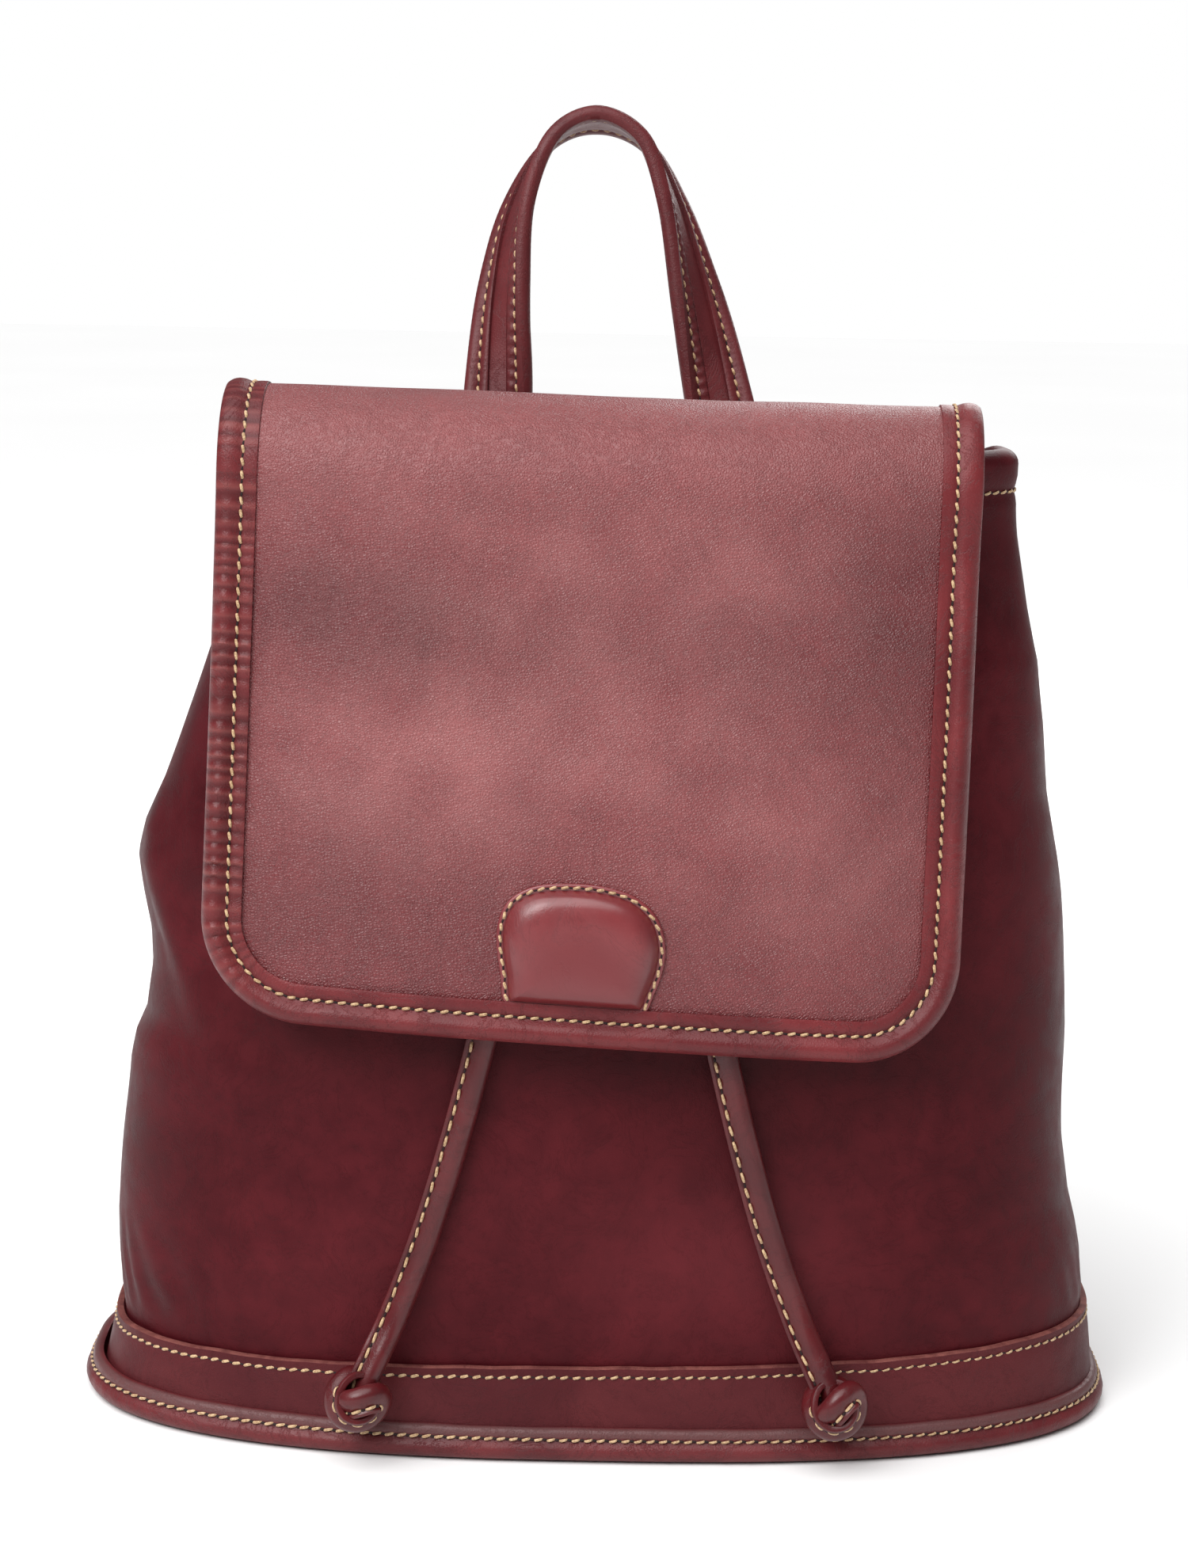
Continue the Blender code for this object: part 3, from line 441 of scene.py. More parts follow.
def leather(
    name, deep, light, roughness=0.45, grain=0.0010, depth=0.00006, patch=0.055, cells=0.5,
    crease=0.00006, coat=0.0, tint_and_painted_light=(0.30, 0.085, 0.075), shine=0.32, cloud=0.8,
):
    """Full-grain leather: cloudy dye, a fine cell grain, hairline creases, painted shade where the mesh's
    shadow attribute says so, and a second colour where a second attribute says so: a real tint on the body
    and the base binding, a painted highlight on the flap and its binding, and painted shade at the badge's
    foot."""
    tree = Tree(name)
    where = tree.add("ShaderNodeTexCoord").outputs["Object"]
    clouds = tree.noise(where, 1.0 / patch, 3.0, 0.55, 0.6)
    mottle = tree.noise(where, 1.0 / 0.009, 4.0, 0.6)
    cell = tree.add(
        "ShaderNodeTexVoronoi", {"feature": "DISTANCE_TO_EDGE"},
        Vector=where, Scale=1.0 / grain, Randomness=1.0,
    ).outputs["Distance"]
    cell = tree.remap(cell, 0.0, 0.34)
    fine = tree.noise(where, 1.0 / (grain * 0.7), 5.0, 0.65)
    lines = tree.noise(where, 1.0 / 0.020, 6.0, 0.72, 1.4)
    lines = tree.maths("ABSOLUTE", tree.maths("SUBTRACT", lines, 0.5))
    lines = tree.remap(lines, 0.0, 0.022)
    blend_share = tree.maths(
        "ADD", tree.remap(clouds, 0.30, 0.70, 0.0, cloud), tree.remap(mottle, 0.3, 0.7, 0.0, 0.9 - cloud)
    )
    colour = tree.mix(blend_share, rgb(*deep), rgb(*light))
    dark = rgb(deep[0] * 0.42, deep[1] * 0.30, deep[2] * 0.32)
    colour = tree.mix(tree.remap(cell, 0.0, 1.0, 0.22 * cells, 0.0), colour, dark)
    colour = tree.mix(tree.remap(lines, 0.0, 1.0, 0.22, 0.0), colour, dark)
    # Painted shade first, then the second colour: a real tint on some pieces, painted light on others.
    colour = tree.mix(tree.attribute("shadow"), colour, dark)
    colour = tree.mix(tree.attribute("tint_and_painted_light"), colour, rgb(*tint_and_painted_light))
    rough = tree.remap(mottle, 0.3, 0.7, roughness - 0.05, roughness + 0.06)
    height = tree.maths("ADD", tree.maths("MULTIPLY", cell, cells), tree.maths("MULTIPLY", fine, 0.8))
    normal = tree.relief(lines, crease, 0.55)
    normal = tree.relief(height, depth, 1.0, normal)
    return tree.finish(
        colour, rough, normal, IOR=1.48, Specular_IOR_Level=shine, Coat_Weight=coat, Coat_Roughness=0.22
    )


def thread_material():
    tree = Tree("tan_thread")
    where = tree.add("ShaderNodeTexCoord").outputs["Object"]
    twist = tree.noise(where, 1.0 / 0.0006, 2.0, 0.5)
    colour = tree.mix(tree.remap(twist, 0.35, 0.65), rgb(0.36, 0.215, 0.105), rgb(0.60, 0.415, 0.235))
    return tree.finish(colour, 0.62, tree.relief(twist, 0.0001), Sheen_Weight=0.2)


# Near-black painted shade for needle holes and the bottoms of punched holes.
def hole_shade_material():
    tree = Tree("needle_hole_shade")
    where = tree.add("ShaderNodeTexCoord").outputs["Object"]
    spots = tree.noise(where, 1.0 / 0.001, 2.0)
    colour = tree.mix(spots, rgb(0.006, 0.002, 0.002), rgb(0.022, 0.006, 0.006))
    return tree.finish(colour, 0.85, tree.relief(spots, 0.00005))


def board_material():
    tree = Tree("fibre_board")
    where = tree.add("ShaderNodeTexCoord").outputs["Object"]
    fibres = tree.noise(where, 1.0 / 0.0025, 6.0, 0.7)
    colour = tree.mix(fibres, rgb(0.10, 0.080, 0.062), rgb(0.20, 0.170, 0.135))
    return tree.finish(colour, 0.85, tree.relief(fibres, 0.0001))


def foam_material():
    tree = Tree("grey_foam")
    where = tree.add("ShaderNodeTexCoord").outputs["Object"]
    pores = tree.noise(where, 1.0 / 0.0007, 4.0, 0.6)
    colour = tree.mix(pores, rgb(0.16, 0.16, 0.16), rgb(0.34, 0.34, 0.34))
    return tree.finish(colour, 0.95, tree.relief(pores, 0.0003))


def brass_material():
    tree = Tree("worn_brass")
    where = tree.add("ShaderNodeTexCoord").outputs["Object"]
    tarnish = tree.noise(where, 1.0 / 0.006, 5.0, 0.6)
    scratches = tree.noise(where, 1.0 / 0.0008, 3.0, 0.7)
    colour = tree.mix(tree.remap(tarnish, 0.42, 0.7), rgb(0.80, 0.56, 0.26), rgb(0.44, 0.26, 0.11))
    rough = tree.remap(tarnish, 0.3, 0.7, 0.20, 0.38)
    return tree.finish(colour, rough, tree.relief(scratches, 0.00002), Metallic=1.0)


THREAD = thread_material()
HOLE_SHADE = hole_shade_material()
BOARD = board_material()
FOAM = foam_material()
BRASS = brass_material()
BODY_LEATHER = leather(
    "body_leather", (0.052, 0.0042, 0.0072), (0.098, 0.0098, 0.0142), 0.46, 0.0008, 0.00004, 0.05, 0.4,
    tint_and_painted_light=(0.150, 0.024, 0.030), shine=0.10, cloud=0.45,
)
# The flap's pale hazy pink second colour is painted sheen.
FLAP_LEATHER = leather(
    "flap_leather", (0.145, 0.0190, 0.0230),
    (0.215, 0.0350, 0.0390), 0.42, 0.00085, 0.00013, 0.030, 1.1, 0.00008,
    tint_and_painted_light=(0.400, 0.140, 0.138), shine=0.62, cloud=0.45,
)
# The binding's default second colour is a painted highlight on the ridges of its puckers.
BINDING_LEATHER = leather(
    "binding_leather", (0.105, 0.0120, 0.0150), (0.185, 0.0250, 0.0280), 0.40, 0.0009, 0.00006, 0.03, 0.5,
    0.00012,
)
# The badge's deeper red second colour is painted shade for the dome's foot.
BADGE_LEATHER = leather(
    "badge_leather", (0.165, 0.021, 0.025),
    (0.215, 0.029, 0.033), 0.36, 0.0011, 0.00002, 0.02, 0.3, 0.00003, 0.25,
    tint_and_painted_light=(0.150, 0.008, 0.012), shine=0.6,
)
BAND_LEATHER = leather(
    "band_leather", (0.066, 0.0090, 0.0120), (0.108, 0.0175, 0.0205), 0.50, 0.0008, 0.00006, 0.04, shine=0.16
)
CUT_EDGE = leather("cut_edge", (0.110, 0.024, 0.022), (0.240, 0.075, 0.062), 0.70, 0.0007, 0.00014, 0.006)
RIM_LEATHER = leather(
    "rim_leather", (0.085, 0.0100, 0.0130),
    (0.150, 0.0210, 0.0240), 0.42, 0.0009, 0.00007, 0.03, 0.5, 0.00012,
    tint_and_painted_light=(0.110, 0.050, 0.050),
)
STRAP_LEATHER = leather(
    "strap_leather", (0.092, 0.0120, 0.0150), (0.150, 0.0230, 0.0260), 0.44, 0.0009, 0.00005, 0.03, 0.5,
    0.00009,
)
CORD_LEATHER = leather(
    "cord_leather", (0.062, 0.0048, 0.0070), (0.108, 0.0105, 0.0130), 0.34, 0.0009, 0.00003, 0.02, 0.4,
    0.00006, 0.22,
)
BASE_LEATHER = leather(
    "base_leather", (0.050, 0.010, 0.012), (0.095, 0.022, 0.024), 0.60, 0.0012, 0.00010, 0.03
)


# ---------------------------------------------------------------- body
def station(height):
    """Half width, front reach and back reach of the body at heights, by cubic interpolation."""
    height = np.asarray(height, float)
    marks = BODY_STATIONS[:, 0]
    index = np.clip(np.searchsorted(marks, height, side="left") - 1, 0, len(marks) - 2)
    before, after = np.maximum(index - 1, 0), np.minimum(index + 2, len(marks) - 1)
    span = marks[index + 1] - marks[index]
    t = np.clip((height - marks[index]) / span, 0.0, 1.0)
    values = []
    for column in (1, 2, 3):
        v = BODY_STATIONS[:, column]
        slope_low = (v[index + 1] - v[before]) / (marks[index + 1] - marks[before])
        slope_high = (v[after] - v[index]) / (marks[after] - marks[index])
        values.append(hermite(t, v[index], v[index + 1], slope_low * span, slope_high * span))
    return values


def wall(angle_deg, height, outset=0.0):
    """Points of the body wall. The angle runs from the front centre over +X to the back."""
    angle_deg, height, outset = np.broadcast_arrays(
        np.asarray(angle_deg, float), np.asarray(height, float), np.asarray(outset, float)
    )
    half_width, front, back = station(height)
    angle = np.radians(angle_deg)
    sine, cosine = np.sin(angle), np.cos(angle)
    back_power = PLAN_POWER + (BACK_POWER_TOP - PLAN_POWER) * smooth(0.10, 0.27, height)
    power = np.where(cosine >= 0, PLAN_POWER, back_power)
    x = np.sign(sine) * np.abs(sine) ** (2 / power) * (half_width + outset)
    reach = np.abs(cosine) ** (2 / power)
    y = np.where(cosine >= 0, -(front + outset) * reach, (back + outset) * reach)
    return np.stack((x, y, height), axis=-1)


def back_y(x, height):
    """The body wall's reach to the back at a place across it."""
    half_width, _, back = station(height)
    power = PLAN_POWER + (BACK_POWER_TOP - PLAN_POWER) * smooth(0.10, 0.27, height)
    return back * (1.0 - np.minimum(np.abs(x) / half_width, 0.999) ** power) ** (1.0 / power)


def rim_height(angle_deg):
    y = wall(angle_deg, RIM_HEIGHT)[..., 1]
    return RIM_HEIGHT - RIM_BACK_DROP * smooth(0.0, 0.055, y)


def side_share(angle_deg, side, half_deg=62.0):
    """How far a column belongs to the left (-1) or right (1) side."""
    turned = (np.asarray(angle_deg, float) + 180.0) % 360.0 - 180.0
    return bump(side * 90.0, half_deg, turned)


def side_swell(angle_deg, height):
    """How far the body's sides bulge or sink, in metres."""
    left = np.interp(height, SIDE_SWELLS[:, 0], SIDE_SWELLS[:, 1])
    right = np.interp(height, SIDE_SWELLS[:, 0], SIDE_SWELLS[:, 2])
    return (left * side_share(angle_deg, -1) + right * side_share(angle_deg, 1)) * MM


def relief(angle_deg, height):
    """How far the soft wall stands out of its smooth section, in metres."""
    angle_deg, height = np.broadcast_arrays(np.asarray(angle_deg, float), np.asarray(height, float))
    smooth_place = wall(angle_deg, height)
    out = side_swell(angle_deg, height)
    middle = smooth(0.03, 0.09, height) * (1 - smooth(0.23, 0.285, height))
    out += 1.5 * MM * middle * ripple(smooth_place, 0.16, 3)
    out += 0.5 * MM * middle * ripple(smooth_place, 0.055, 5)
    # A slack fold running down from under the flap on the left, and soft hollows on the front.
    turned = (angle_deg + 180.0) % 360.0 - 180.0
    slant = turned + 62.0 + (height - 0.150) * 420.0
    out += 1.6 * MM * bump(0.0, 9.0, slant) * bump(0.150, 0.050, height)
    out -= 1.3 * MM * bump(13.0, 9.0, slant) * bump(0.145, 0.050, height)
    out += 0.8 * MM * bump(-44.0, 12.0, turned - (height - 0.10) * 300.0) * bump(0.100, 0.040, height)
    out -= 0.9 * MM * bump(30.0, 22.0, turned) * bump(0.095, 0.040, height)
    # Gathers that run down from the drawn mouth.
    gathers = np.sin(np.radians(angle_deg) * 11 + 1.5 * np.sin(np.radians(angle_deg) * 3 + 0.7))
    out += 1.1 * MM * gathers * smooth(0.205, 0.285, height)
    # Short puckers just above the band, strongest at the left corner.
    corner = bump(-68, 34, turned) + 0.35 * bump(80, 30, turned)
    waves = np.sin(np.radians(turned) * 46 + height * 260 + 2.0 * np.sin(np.radians(turned) * 9))
    out += 0.42 * MM * corner * waves * bump(0.040, 0.024, height)
    out += 0.25 * MM * corner * ripple(smooth_place, 0.009, 8) * bump(0.043, 0.026, height)
    return out


def build_body():
    low_rows = np.linspace(BODY_BOTTOM, RIM_HEIGHT - WAVE_DROP, 104)
    drops = [0.0165, 0.0145, HEM_SEAM_DROP, 0.0104, 0.0080, 0.0060]
    insets = [0, 0.0003, 0.0009, 0.0004, 0, 0]
    for degrees in range(0, 181, 15):
        drops.append(0.0045 * (1 - math.sin(math.radians(degrees))))
        insets.append(HEM_REACH / 2 * (1 - math.cos(math.radians(degrees))))
    drops += [0.0070, 0.0098, HEM_SEAM_DROP, 0.0145]
    insets += [HEM_REACH, HEM_REACH * 0.86, HEM_REACH * 0.50, HEM_REACH * 0.46]

    def panel(name, angles, node, tuck):
        rim = rim_height(angles)
        sink = RIM_HEIGHT - rim
        rows = []
        seam = np.abs(np.abs((angles + 180) % 360 - 180) - SEAM_DEG)
        dip = tuck * (1 - smooth(1.0, 4.0, seam))
        for level in low_rows:
            height = level - sink * smooth(0.18, RIM_HEIGHT, level)
            rows.append(wall(angles, height, relief(angles, height) + dip))
        wave = relief(angles, rim - WAVE_DROP) + dip
        for drop, inset in zip(drops, insets):
            rows.append(wall(angles, rim - drop, -inset + wave))
        grid = np.array(rows)
        verts, faces = sheet_mesh(grid, LEATHER)
        obj = piece(name, verts, faces, [BODY_LEATHER], "bag")
        flat = grid.reshape(-1, 3)
        level = flat[:, 2]
        side = side_share(np.broadcast_to(angles, grid.shape[:2]), -1).ravel()
        front = smooth(-0.02, -0.06, flat[:, 1])
        # Painted shade: a band under the flap's left edge, darker towards the bottom, a band under the
        # flap's front edge, and the inner face. Random darker patches of tone go in with it.
        shadow = 0.16 * bump(0.135, 0.03, level) * side + 0.15 * smooth(0.045, 0.030, level)
        shadow += 0.25 * np.clip(ripple(flat, 0.10, 21), 0, 1)
        shadow += 0.28 * bump(0.125, 0.032, level) * front
        ruddy = 0.35 * np.clip(ripple(flat, 0.12, 22), 0, 1) * bump(0.065, 0.045, level)
        shade(obj, "tint_and_painted_light", np.concatenate((ruddy, np.zeros_like(ruddy))))
        shade(obj, "shadow", np.clip(np.concatenate((shadow, shadow + 0.2)), 0, 1))
        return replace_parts(obj, node)

    # The back panel's edges are tucked under the front's, as a lap seam.
    front_angles = np.arange(-SEAM_DEG - 1.0, SEAM_DEG + 1.5, 1.0)
    back_angles = np.arange(SEAM_DEG - 2.0, 360 - SEAM_DEG + 2.5, 1.0)
    panel("body_front", front_angles, "body_wrap", 0.0)
    panel("body_back", back_angles, "back_panel", -LEATHER - 0.0003)

    angles = np.arange(0.0, 360.1, 0.8)
    heights = rim_height(angles) - HEM_SEAM_DROP
    wave = relief(angles, rim_height(angles) - WAVE_DROP)
    line = wall(angles, heights, wave - 0.0007)
    stitches("stitches_rim", line, unit(line * (1, 1, 0)), "bag")
    for side, word in ((-1, "left"), (1, "right")):
        heights = np.linspace(BAND_TOP + 0.004, RIM_HEIGHT - 0.016, 160)
        angle = np.full_like(heights, side * (SEAM_DEG - 1.4))
        line = wall(angle, heights, relief(angle, heights) - 0.0001)
        near = wall(angle + 0.5, heights)
        out = unit(np.cross(near - wall(angle - 0.5, heights), np.tile((0, 0, 1.0), (len(heights), 1))))
        stitches(f"stitches_side_{word}", line, out, "bag")


def build_hem_cord():
    """The part of the drawstring that runs inside the hem."""
    angles = np.linspace(5.0, 355.0, 160)
    wave = relief(angles, rim_height(angles) - WAVE_DROP)
    line = wall(angles, rim_height(angles) - HEM_CORD_DROP, wave - HEM_REACH / 2)
    across = unit(line * (1, 1, 0))
    up = np.tile((0.0, 0.0, 1.0), (len(line), 1))
    section = rounded((
        (-0.0022, -0.0030), (-0.0022, 0.0030), (0.0, 0.0040), (0.0022, 0.0030), (0.0022, -0.0030),
        (0.0, -0.0040),
    ))
    obj = loft("hem_cord", sweep(line, across, up, section), [CORD_LEATHER], "bag")
    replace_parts(obj, "drawstring_loop")


# ---------------------------------------------------------------- base
def base_oval(angle_deg, inset):
    angle = np.radians(np.asarray(angle_deg, float))
    sine, cosine = np.sin(angle), np.cos(angle)
    x = np.sign(sine) * np.abs(sine) ** (2 / PLAN_POWER) * (BASE_HALF_WIDTH - inset)
    y = -np.sign(cosine) * np.abs(cosine) ** (2 / PLAN_POWER) * (BASE_HALF_DEPTH - inset)
    return x, y


def band_top(angle_deg):
    """The band's raw edge climbs a little towards the right and dips at the left."""
    turned = np.radians(np.asarray(angle_deg, float))
    place = wall(angle_deg, BAND_TOP)
    return BAND_TOP - 0.0006 + 0.0034 * np.sin(turned) + 0.00022 * ripple(place, 0.02, 31)


def band_outset(angles, height, top):
    """How far the band's face stands out of the body's smooth section."""
    flare = BAND_FLARE * np.maximum(0.0, 1 - height / BAND_TOP)
    seam_dip = -0.00035 * bump(BAND_ROW_DROP, 0.0016, top - height)
    waves = 0.00035 * ripple(wall(angles, height), 0.05, 33)
    return LEATHER + 0.0004 + flare + seam_dip + waves + side_swell(angles, height)


def build_base():
    angles = np.arange(0.0, 360.0, 1.0)
    top = band_top(angles)
    # Band: plain leather with its raw upper edge showing.
    rows = []
    shares = (0.0, 0.12, 0.25, 0.40, 0.55, 0.70, 0.80, 0.87, 0.91, 0.95, 0.985)
    for share in shares:
        height = BODY_BOTTOM + (top - BODY_BOTTOM) * share
        rows.append(wall(angles, height, band_outset(angles, height, top)))
    outer = np.array(rows)
    edge = band_outset(angles, top, top)
    lip = [
        wall(angles, top - shift, edge - inset)
        for shift, inset in ((0.0002, 0.0003), (0.0, 0.0008), (0.0001, 0.0020), (0.0016, 0.0031))
    ]
    bottom = wall(angles, np.full_like(angles, BODY_BOTTOM), 0.0004 + BAND_FLARE)
    rings = np.concatenate((outer, np.array(lip), bottom[None]), axis=0).transpose(1, 0, 2)
    verts, faces = loft_mesh(rings, cyclic=True)
    faces = outward(verts, faces)
    kinds = []
    for face in faces:
        rows_of_face = [vertex % rings.shape[1] for vertex in face]
        kinds.append(int(min(rows_of_face) >= len(shares) - 1 and max(rows_of_face) <= len(shares) + 2))
    band = piece("band", verts, faces, [BAND_LEATHER, CUT_EDGE], "bag", kinds)
    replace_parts(band, "base_band")
    row = top - BAND_ROW_DROP
    line = wall(angles, row, band_outset(angles, row, top) + 0.00005)
    line = np.vstack((line, line[:1]))
    stitches("stitches_band", line, unit(line * (1, 1, 0)), "bag")

    # Binding: a rolled strip with a raw upper lip and a stitched valley above its roll.
    section = rounded((
        (0.0052, 0.0096), (0.0034, 0.0098), (0.0024, 0.0092), (0.0019, 0.0078), (0.0019, 0.0064),
        (0.0011, 0.0056), (0.0001, 0.0042), (0.0001, 0.0024), (0.0012, 0.0008), (0.0034, 0.0001),
        (0.0072, 0.0000), (0.0086, 0.0008), (0.0062, 0.0016), (0.0046, 0.0040), (0.0046, 0.0072),
    ), 2)
    fine = np.arange(0.0, 360.0, 0.75)
    rings = []
    for inset, height in section:
        x, y = base_oval(fine, inset)
        points = np.stack((x, y, np.full_like(x, height)), axis=-1)
        roll = bump(0.0036, 0.0034, height)
        crinkle = 0.00014 * ripple(points, 0.006, 41) + 0.0002 * ripple(points, 0.03, 42)
        points[:, :2] += unit(points[:, :2]) * (crinkle * roll)[:, None]
        points[:, 2] += 0.00012 * ripple(points, 0.02, 43) if height > 0.009 else 0.0
        rings.append(points)
    rings = np.array(rings).transpose(1, 0, 2)
    binding = loft("base_rim", rings, [RIM_LEATHER], "bag", cyclic=True)
    # The raw lip's grey-brown nap, and painted shade in the stitched valley below it.
    nap = 0.75 * smooth(0.0070, 0.0078, section[:, 1]) * (section[:, 0] < 0.0036)
    valley = 0.55 * bump(0.0064, 0.0010, section[:, 1]) * (section[:, 0] < 0.003)
    shade(binding, "tint_and_painted_light", np.tile(nap, len(fine)))
    shade(binding, "shadow", np.tile(valley, len(fine)))
    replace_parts(binding, "base_binding")
    x, y = base_oval(np.append(fine, 360.0), 0.0017)
    line = np.stack((x, y, np.full_like(x, 0.0068)), axis=-1)
    stitches("stitches_base", line, unit(line * (1, 1, 0)), "bag")

    # Underside and the stiffener over it.
    for name, node, inset, low, high, material, slot in (
        ("underside", "base_panel", 0.0066, 0.0, 0.0020, BASE_LEATHER, "base_leather"),
        ("stiffener", "base_board", 0.0135, 0.0024, 0.0044, BOARD, "stiffener"),
    ):
        rings = []
        bevel = 0.0003
        for shift, height in ((bevel, low), (0.0, low + bevel), (0.0, high - bevel), (bevel, high)):
            x, y = base_oval(angles, inset + shift)
            rings.append(np.stack((x, y, np.full_like(x, height)), axis=-1))
        obj = loft(name, np.array(rings), [material], "bag")
        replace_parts(obj, node)


# ---------------------------------------------------------------- flap
FLAP_HALF = 0.1098
FLAP_THICK = 0.0020
FLAP_BACK = np.array((0.0660, 0.2915))
FLAP_CREST = np.array((-0.0560, 0.3170))
FLAP_CREST_RADIUS = 0.0300
FLAP_FOOT = np.array((-0.0808, 0.1286))
CORNER_RADIUS = 0.0300
FLAP_DRIFT = -0.0070
FLAP_DROOP = 0.0540
FLAP_WRAP = 0.0090
TAIL_HALF = 0.0980
BINDING_WIDTH = 0.0118
# The tail's side profile up the back of the body, as (y, z), ending where the flap's own profile starts.
TAIL_PROFILE = (
    (0.0652, 0.2562), (0.0650, 0.2660), (0.0653, 0.2760), (0.0664, 0.2835), (0.0682, 0.2880),
    (0.0678, 0.2906),
)


def flap_profile():
    """The flap's outer side profile from the foot of the tail over the crest to the front foot."""
    into = unit(FLAP_BACK - FLAP_CREST)
    out = unit(FLAP_FOOT - FLAP_CREST)
    half_turn = math.acos(float(np.dot(into, out))) / 2
    reach = FLAP_CREST_RADIUS / math.tan(half_turn)
    centre = FLAP_CREST + unit(into + out) * (FLAP_CREST_RADIUS / math.sin(half_turn))
    start = FLAP_CREST + into * reach - centre
    turn = math.pi - 2 * half_turn
    arc = []
    for step in range(25):
        angle = turn * step / 24
        cosine, sine = math.cos(angle), math.sin(angle)
        arc.append(centre + (cosine * start[0] - sine * start[1], sine * start[0] + cosine * start[1]))
    tail = curve(TAIL_PROFILE + (tuple(FLAP_BACK + (-0.0035, 0.0007)),), 8)
    top = [FLAP_BACK + (arc[0] - FLAP_BACK) * share for share in (0.1, 0.3, 0.5, 0.7, 0.9)]
    front = [arc[-1] + (FLAP_FOOT - arc[-1]) * share for share in np.linspace(0.04, 1.0, 24)]
    return np.vstack((tail, top, arc, front))


# Marks along the profile count from the hinge: the tail is behind it, at negative marks.
PROFILE = flap_profile()
TAIL_LENGTH = lengths(PROFILE)[len(TAIL_PROFILE) * 8] - 0.0035
PROFILE_MARKS = lengths(PROFILE) - TAIL_LENGTH
FLAP_LENGTH = PROFILE_MARKS[-1]


def fold(u, s, h=0.0):
    """Fold the flap's flat pattern: U across, S along from the hinge, H out of its face."""
    u, s, h = np.broadcast_arrays(np.asarray(u, float), np.asarray(s, float), np.asarray(h, float))

    def at(marks):
        return np.stack([np.interp(marks, PROFILE_MARKS, PROFILE[:, axis]) for axis in (0, 1)], axis=-1)

    reach = 0.0020
    place = at(s)
    ahead = unit(at(s + reach) - at(s - reach))
    share = np.maximum(s, 0.0) / FLAP_LENGTH
    over = smooth(0.25, 0.55, share)
    x = u + FLAP_DRIFT * share
    y = place[..., 0] + ahead[..., 1] * h + FLAP_WRAP * over * (np.abs(u) / FLAP_HALF) ** 2.4
    z = place[..., 1] - ahead[..., 0] * h - FLAP_DROOP * u * share
    behind = 1 - smooth(-0.006, 0.040, s)
    height = np.clip(z, 0.25, 0.290)
    y = y + behind * (back_y(x, height) - back_y(0.0, height))
    return np.stack((x, y, z), axis=-1)


def flap_half(s, inset=0.0):
    """Half the pattern's width, which narrows down the tail and rounds off at the foot."""
    s = np.asarray(s, float)
    half = TAIL_HALF + (FLAP_HALF - TAIL_HALF) * smooth(-0.030, 0.012, s) - inset
    radius = CORNER_RADIUS - inset
    cut_in = np.clip(s - (FLAP_LENGTH - inset - radius), 0.0, radius)
    return half - radius + np.sqrt(np.maximum(radius**2 - cut_in**2, 0.0))


def flap_edge(inset, step=0.0010):
    """The pattern's edge at INSET from the outer one: from the left of the tail round to the right."""
    radius = CORNER_RADIUS - inset
    end = FLAP_LENGTH - inset
    count = int((FLAP_LENGTH + TAIL_LENGTH) / step)
    sides = np.linspace(-TAIL_LENGTH + 0.001, FLAP_LENGTH - CORNER_RADIUS, count)
    left = np.stack((-flap_half(sides, inset), sides), axis=1)
    turns = np.radians(np.linspace(0, 90, 46)[1:])
    half = FLAP_HALF - inset
    corner = np.stack((
        -half + radius * (1 - np.cos(turns)), end - radius + radius * np.sin(turns)
    ), axis=1)
    foot = np.stack((np.linspace(-half + radius, 0.0, 80)[1:], np.full(79, end)), axis=1)
    half_edge = np.vstack((left, corner, foot))
    return np.vstack((half_edge, (half_edge[:-1] * (-1, 1))[::-1]))


def flap_swell(u, s):
    """Soft waves of the flap's face, fading out towards the tail."""
    flat = np.stack((u, s), axis=-1)
    fade = smooth(0.06, 0.13, s)
    return (0.9 * MM * ripple(flat, 0.11, 51) + 0.22 * MM * ripple(flat, 0.032, 52)) * fade


# Places on the flap as across, along from the hinge, half spans, amount: first painted sheen patches, then
# painted shade patches with one small dark spot among them.
FLAP_SHEEN_PATCHES = (
    (-0.076, 0.145, 0.035, 0.022, 0.16), (-0.012, 0.163, 0.040, 0.026, 0.26),
    (0.046, 0.158, 0.030, 0.026, 0.24),
    (-0.048, 0.222, 0.050, 0.028, 0.40), (0.004, 0.205, 0.040, 0.020, 0.18),
    (0.052, 0.232, 0.038, 0.036, 0.20),
    (0.080, 0.250, 0.030, 0.024, 0.16),
)
FLAP_SHADE_PATCHES = (
    (-0.062, 0.180, 0.044, 0.019, 0.56), (0.034, 0.184, 0.040, 0.014, 0.26),
    (-0.080, 0.258, 0.050, 0.026, 0.28),
    (-0.048, 0.187, 0.0035, 0.0032, 0.30), (0.085, 0.175, 0.026, 0.034, 0.34),
    (-0.012, 0.268, 0.040, 0.014, 0.14),
)


def soft_patches(across, down, patches):
    """Soft round patches added together."""
    total = np.zeros(np.shape(across))
    for middle_across, middle_down, half_across, half_down, amount in patches:
        sideways, lengthways = (across - middle_across) / half_across, (down - middle_down) / half_down
        total += amount * np.exp(-sideways ** 2 - lengthways ** 2)
    return total


def binding_fullness(edge):
    """The binding lies flat over the crest and grows full down the front."""
    return 0.42 + 0.58 * smooth(0.135, 0.185, edge[:, 1])


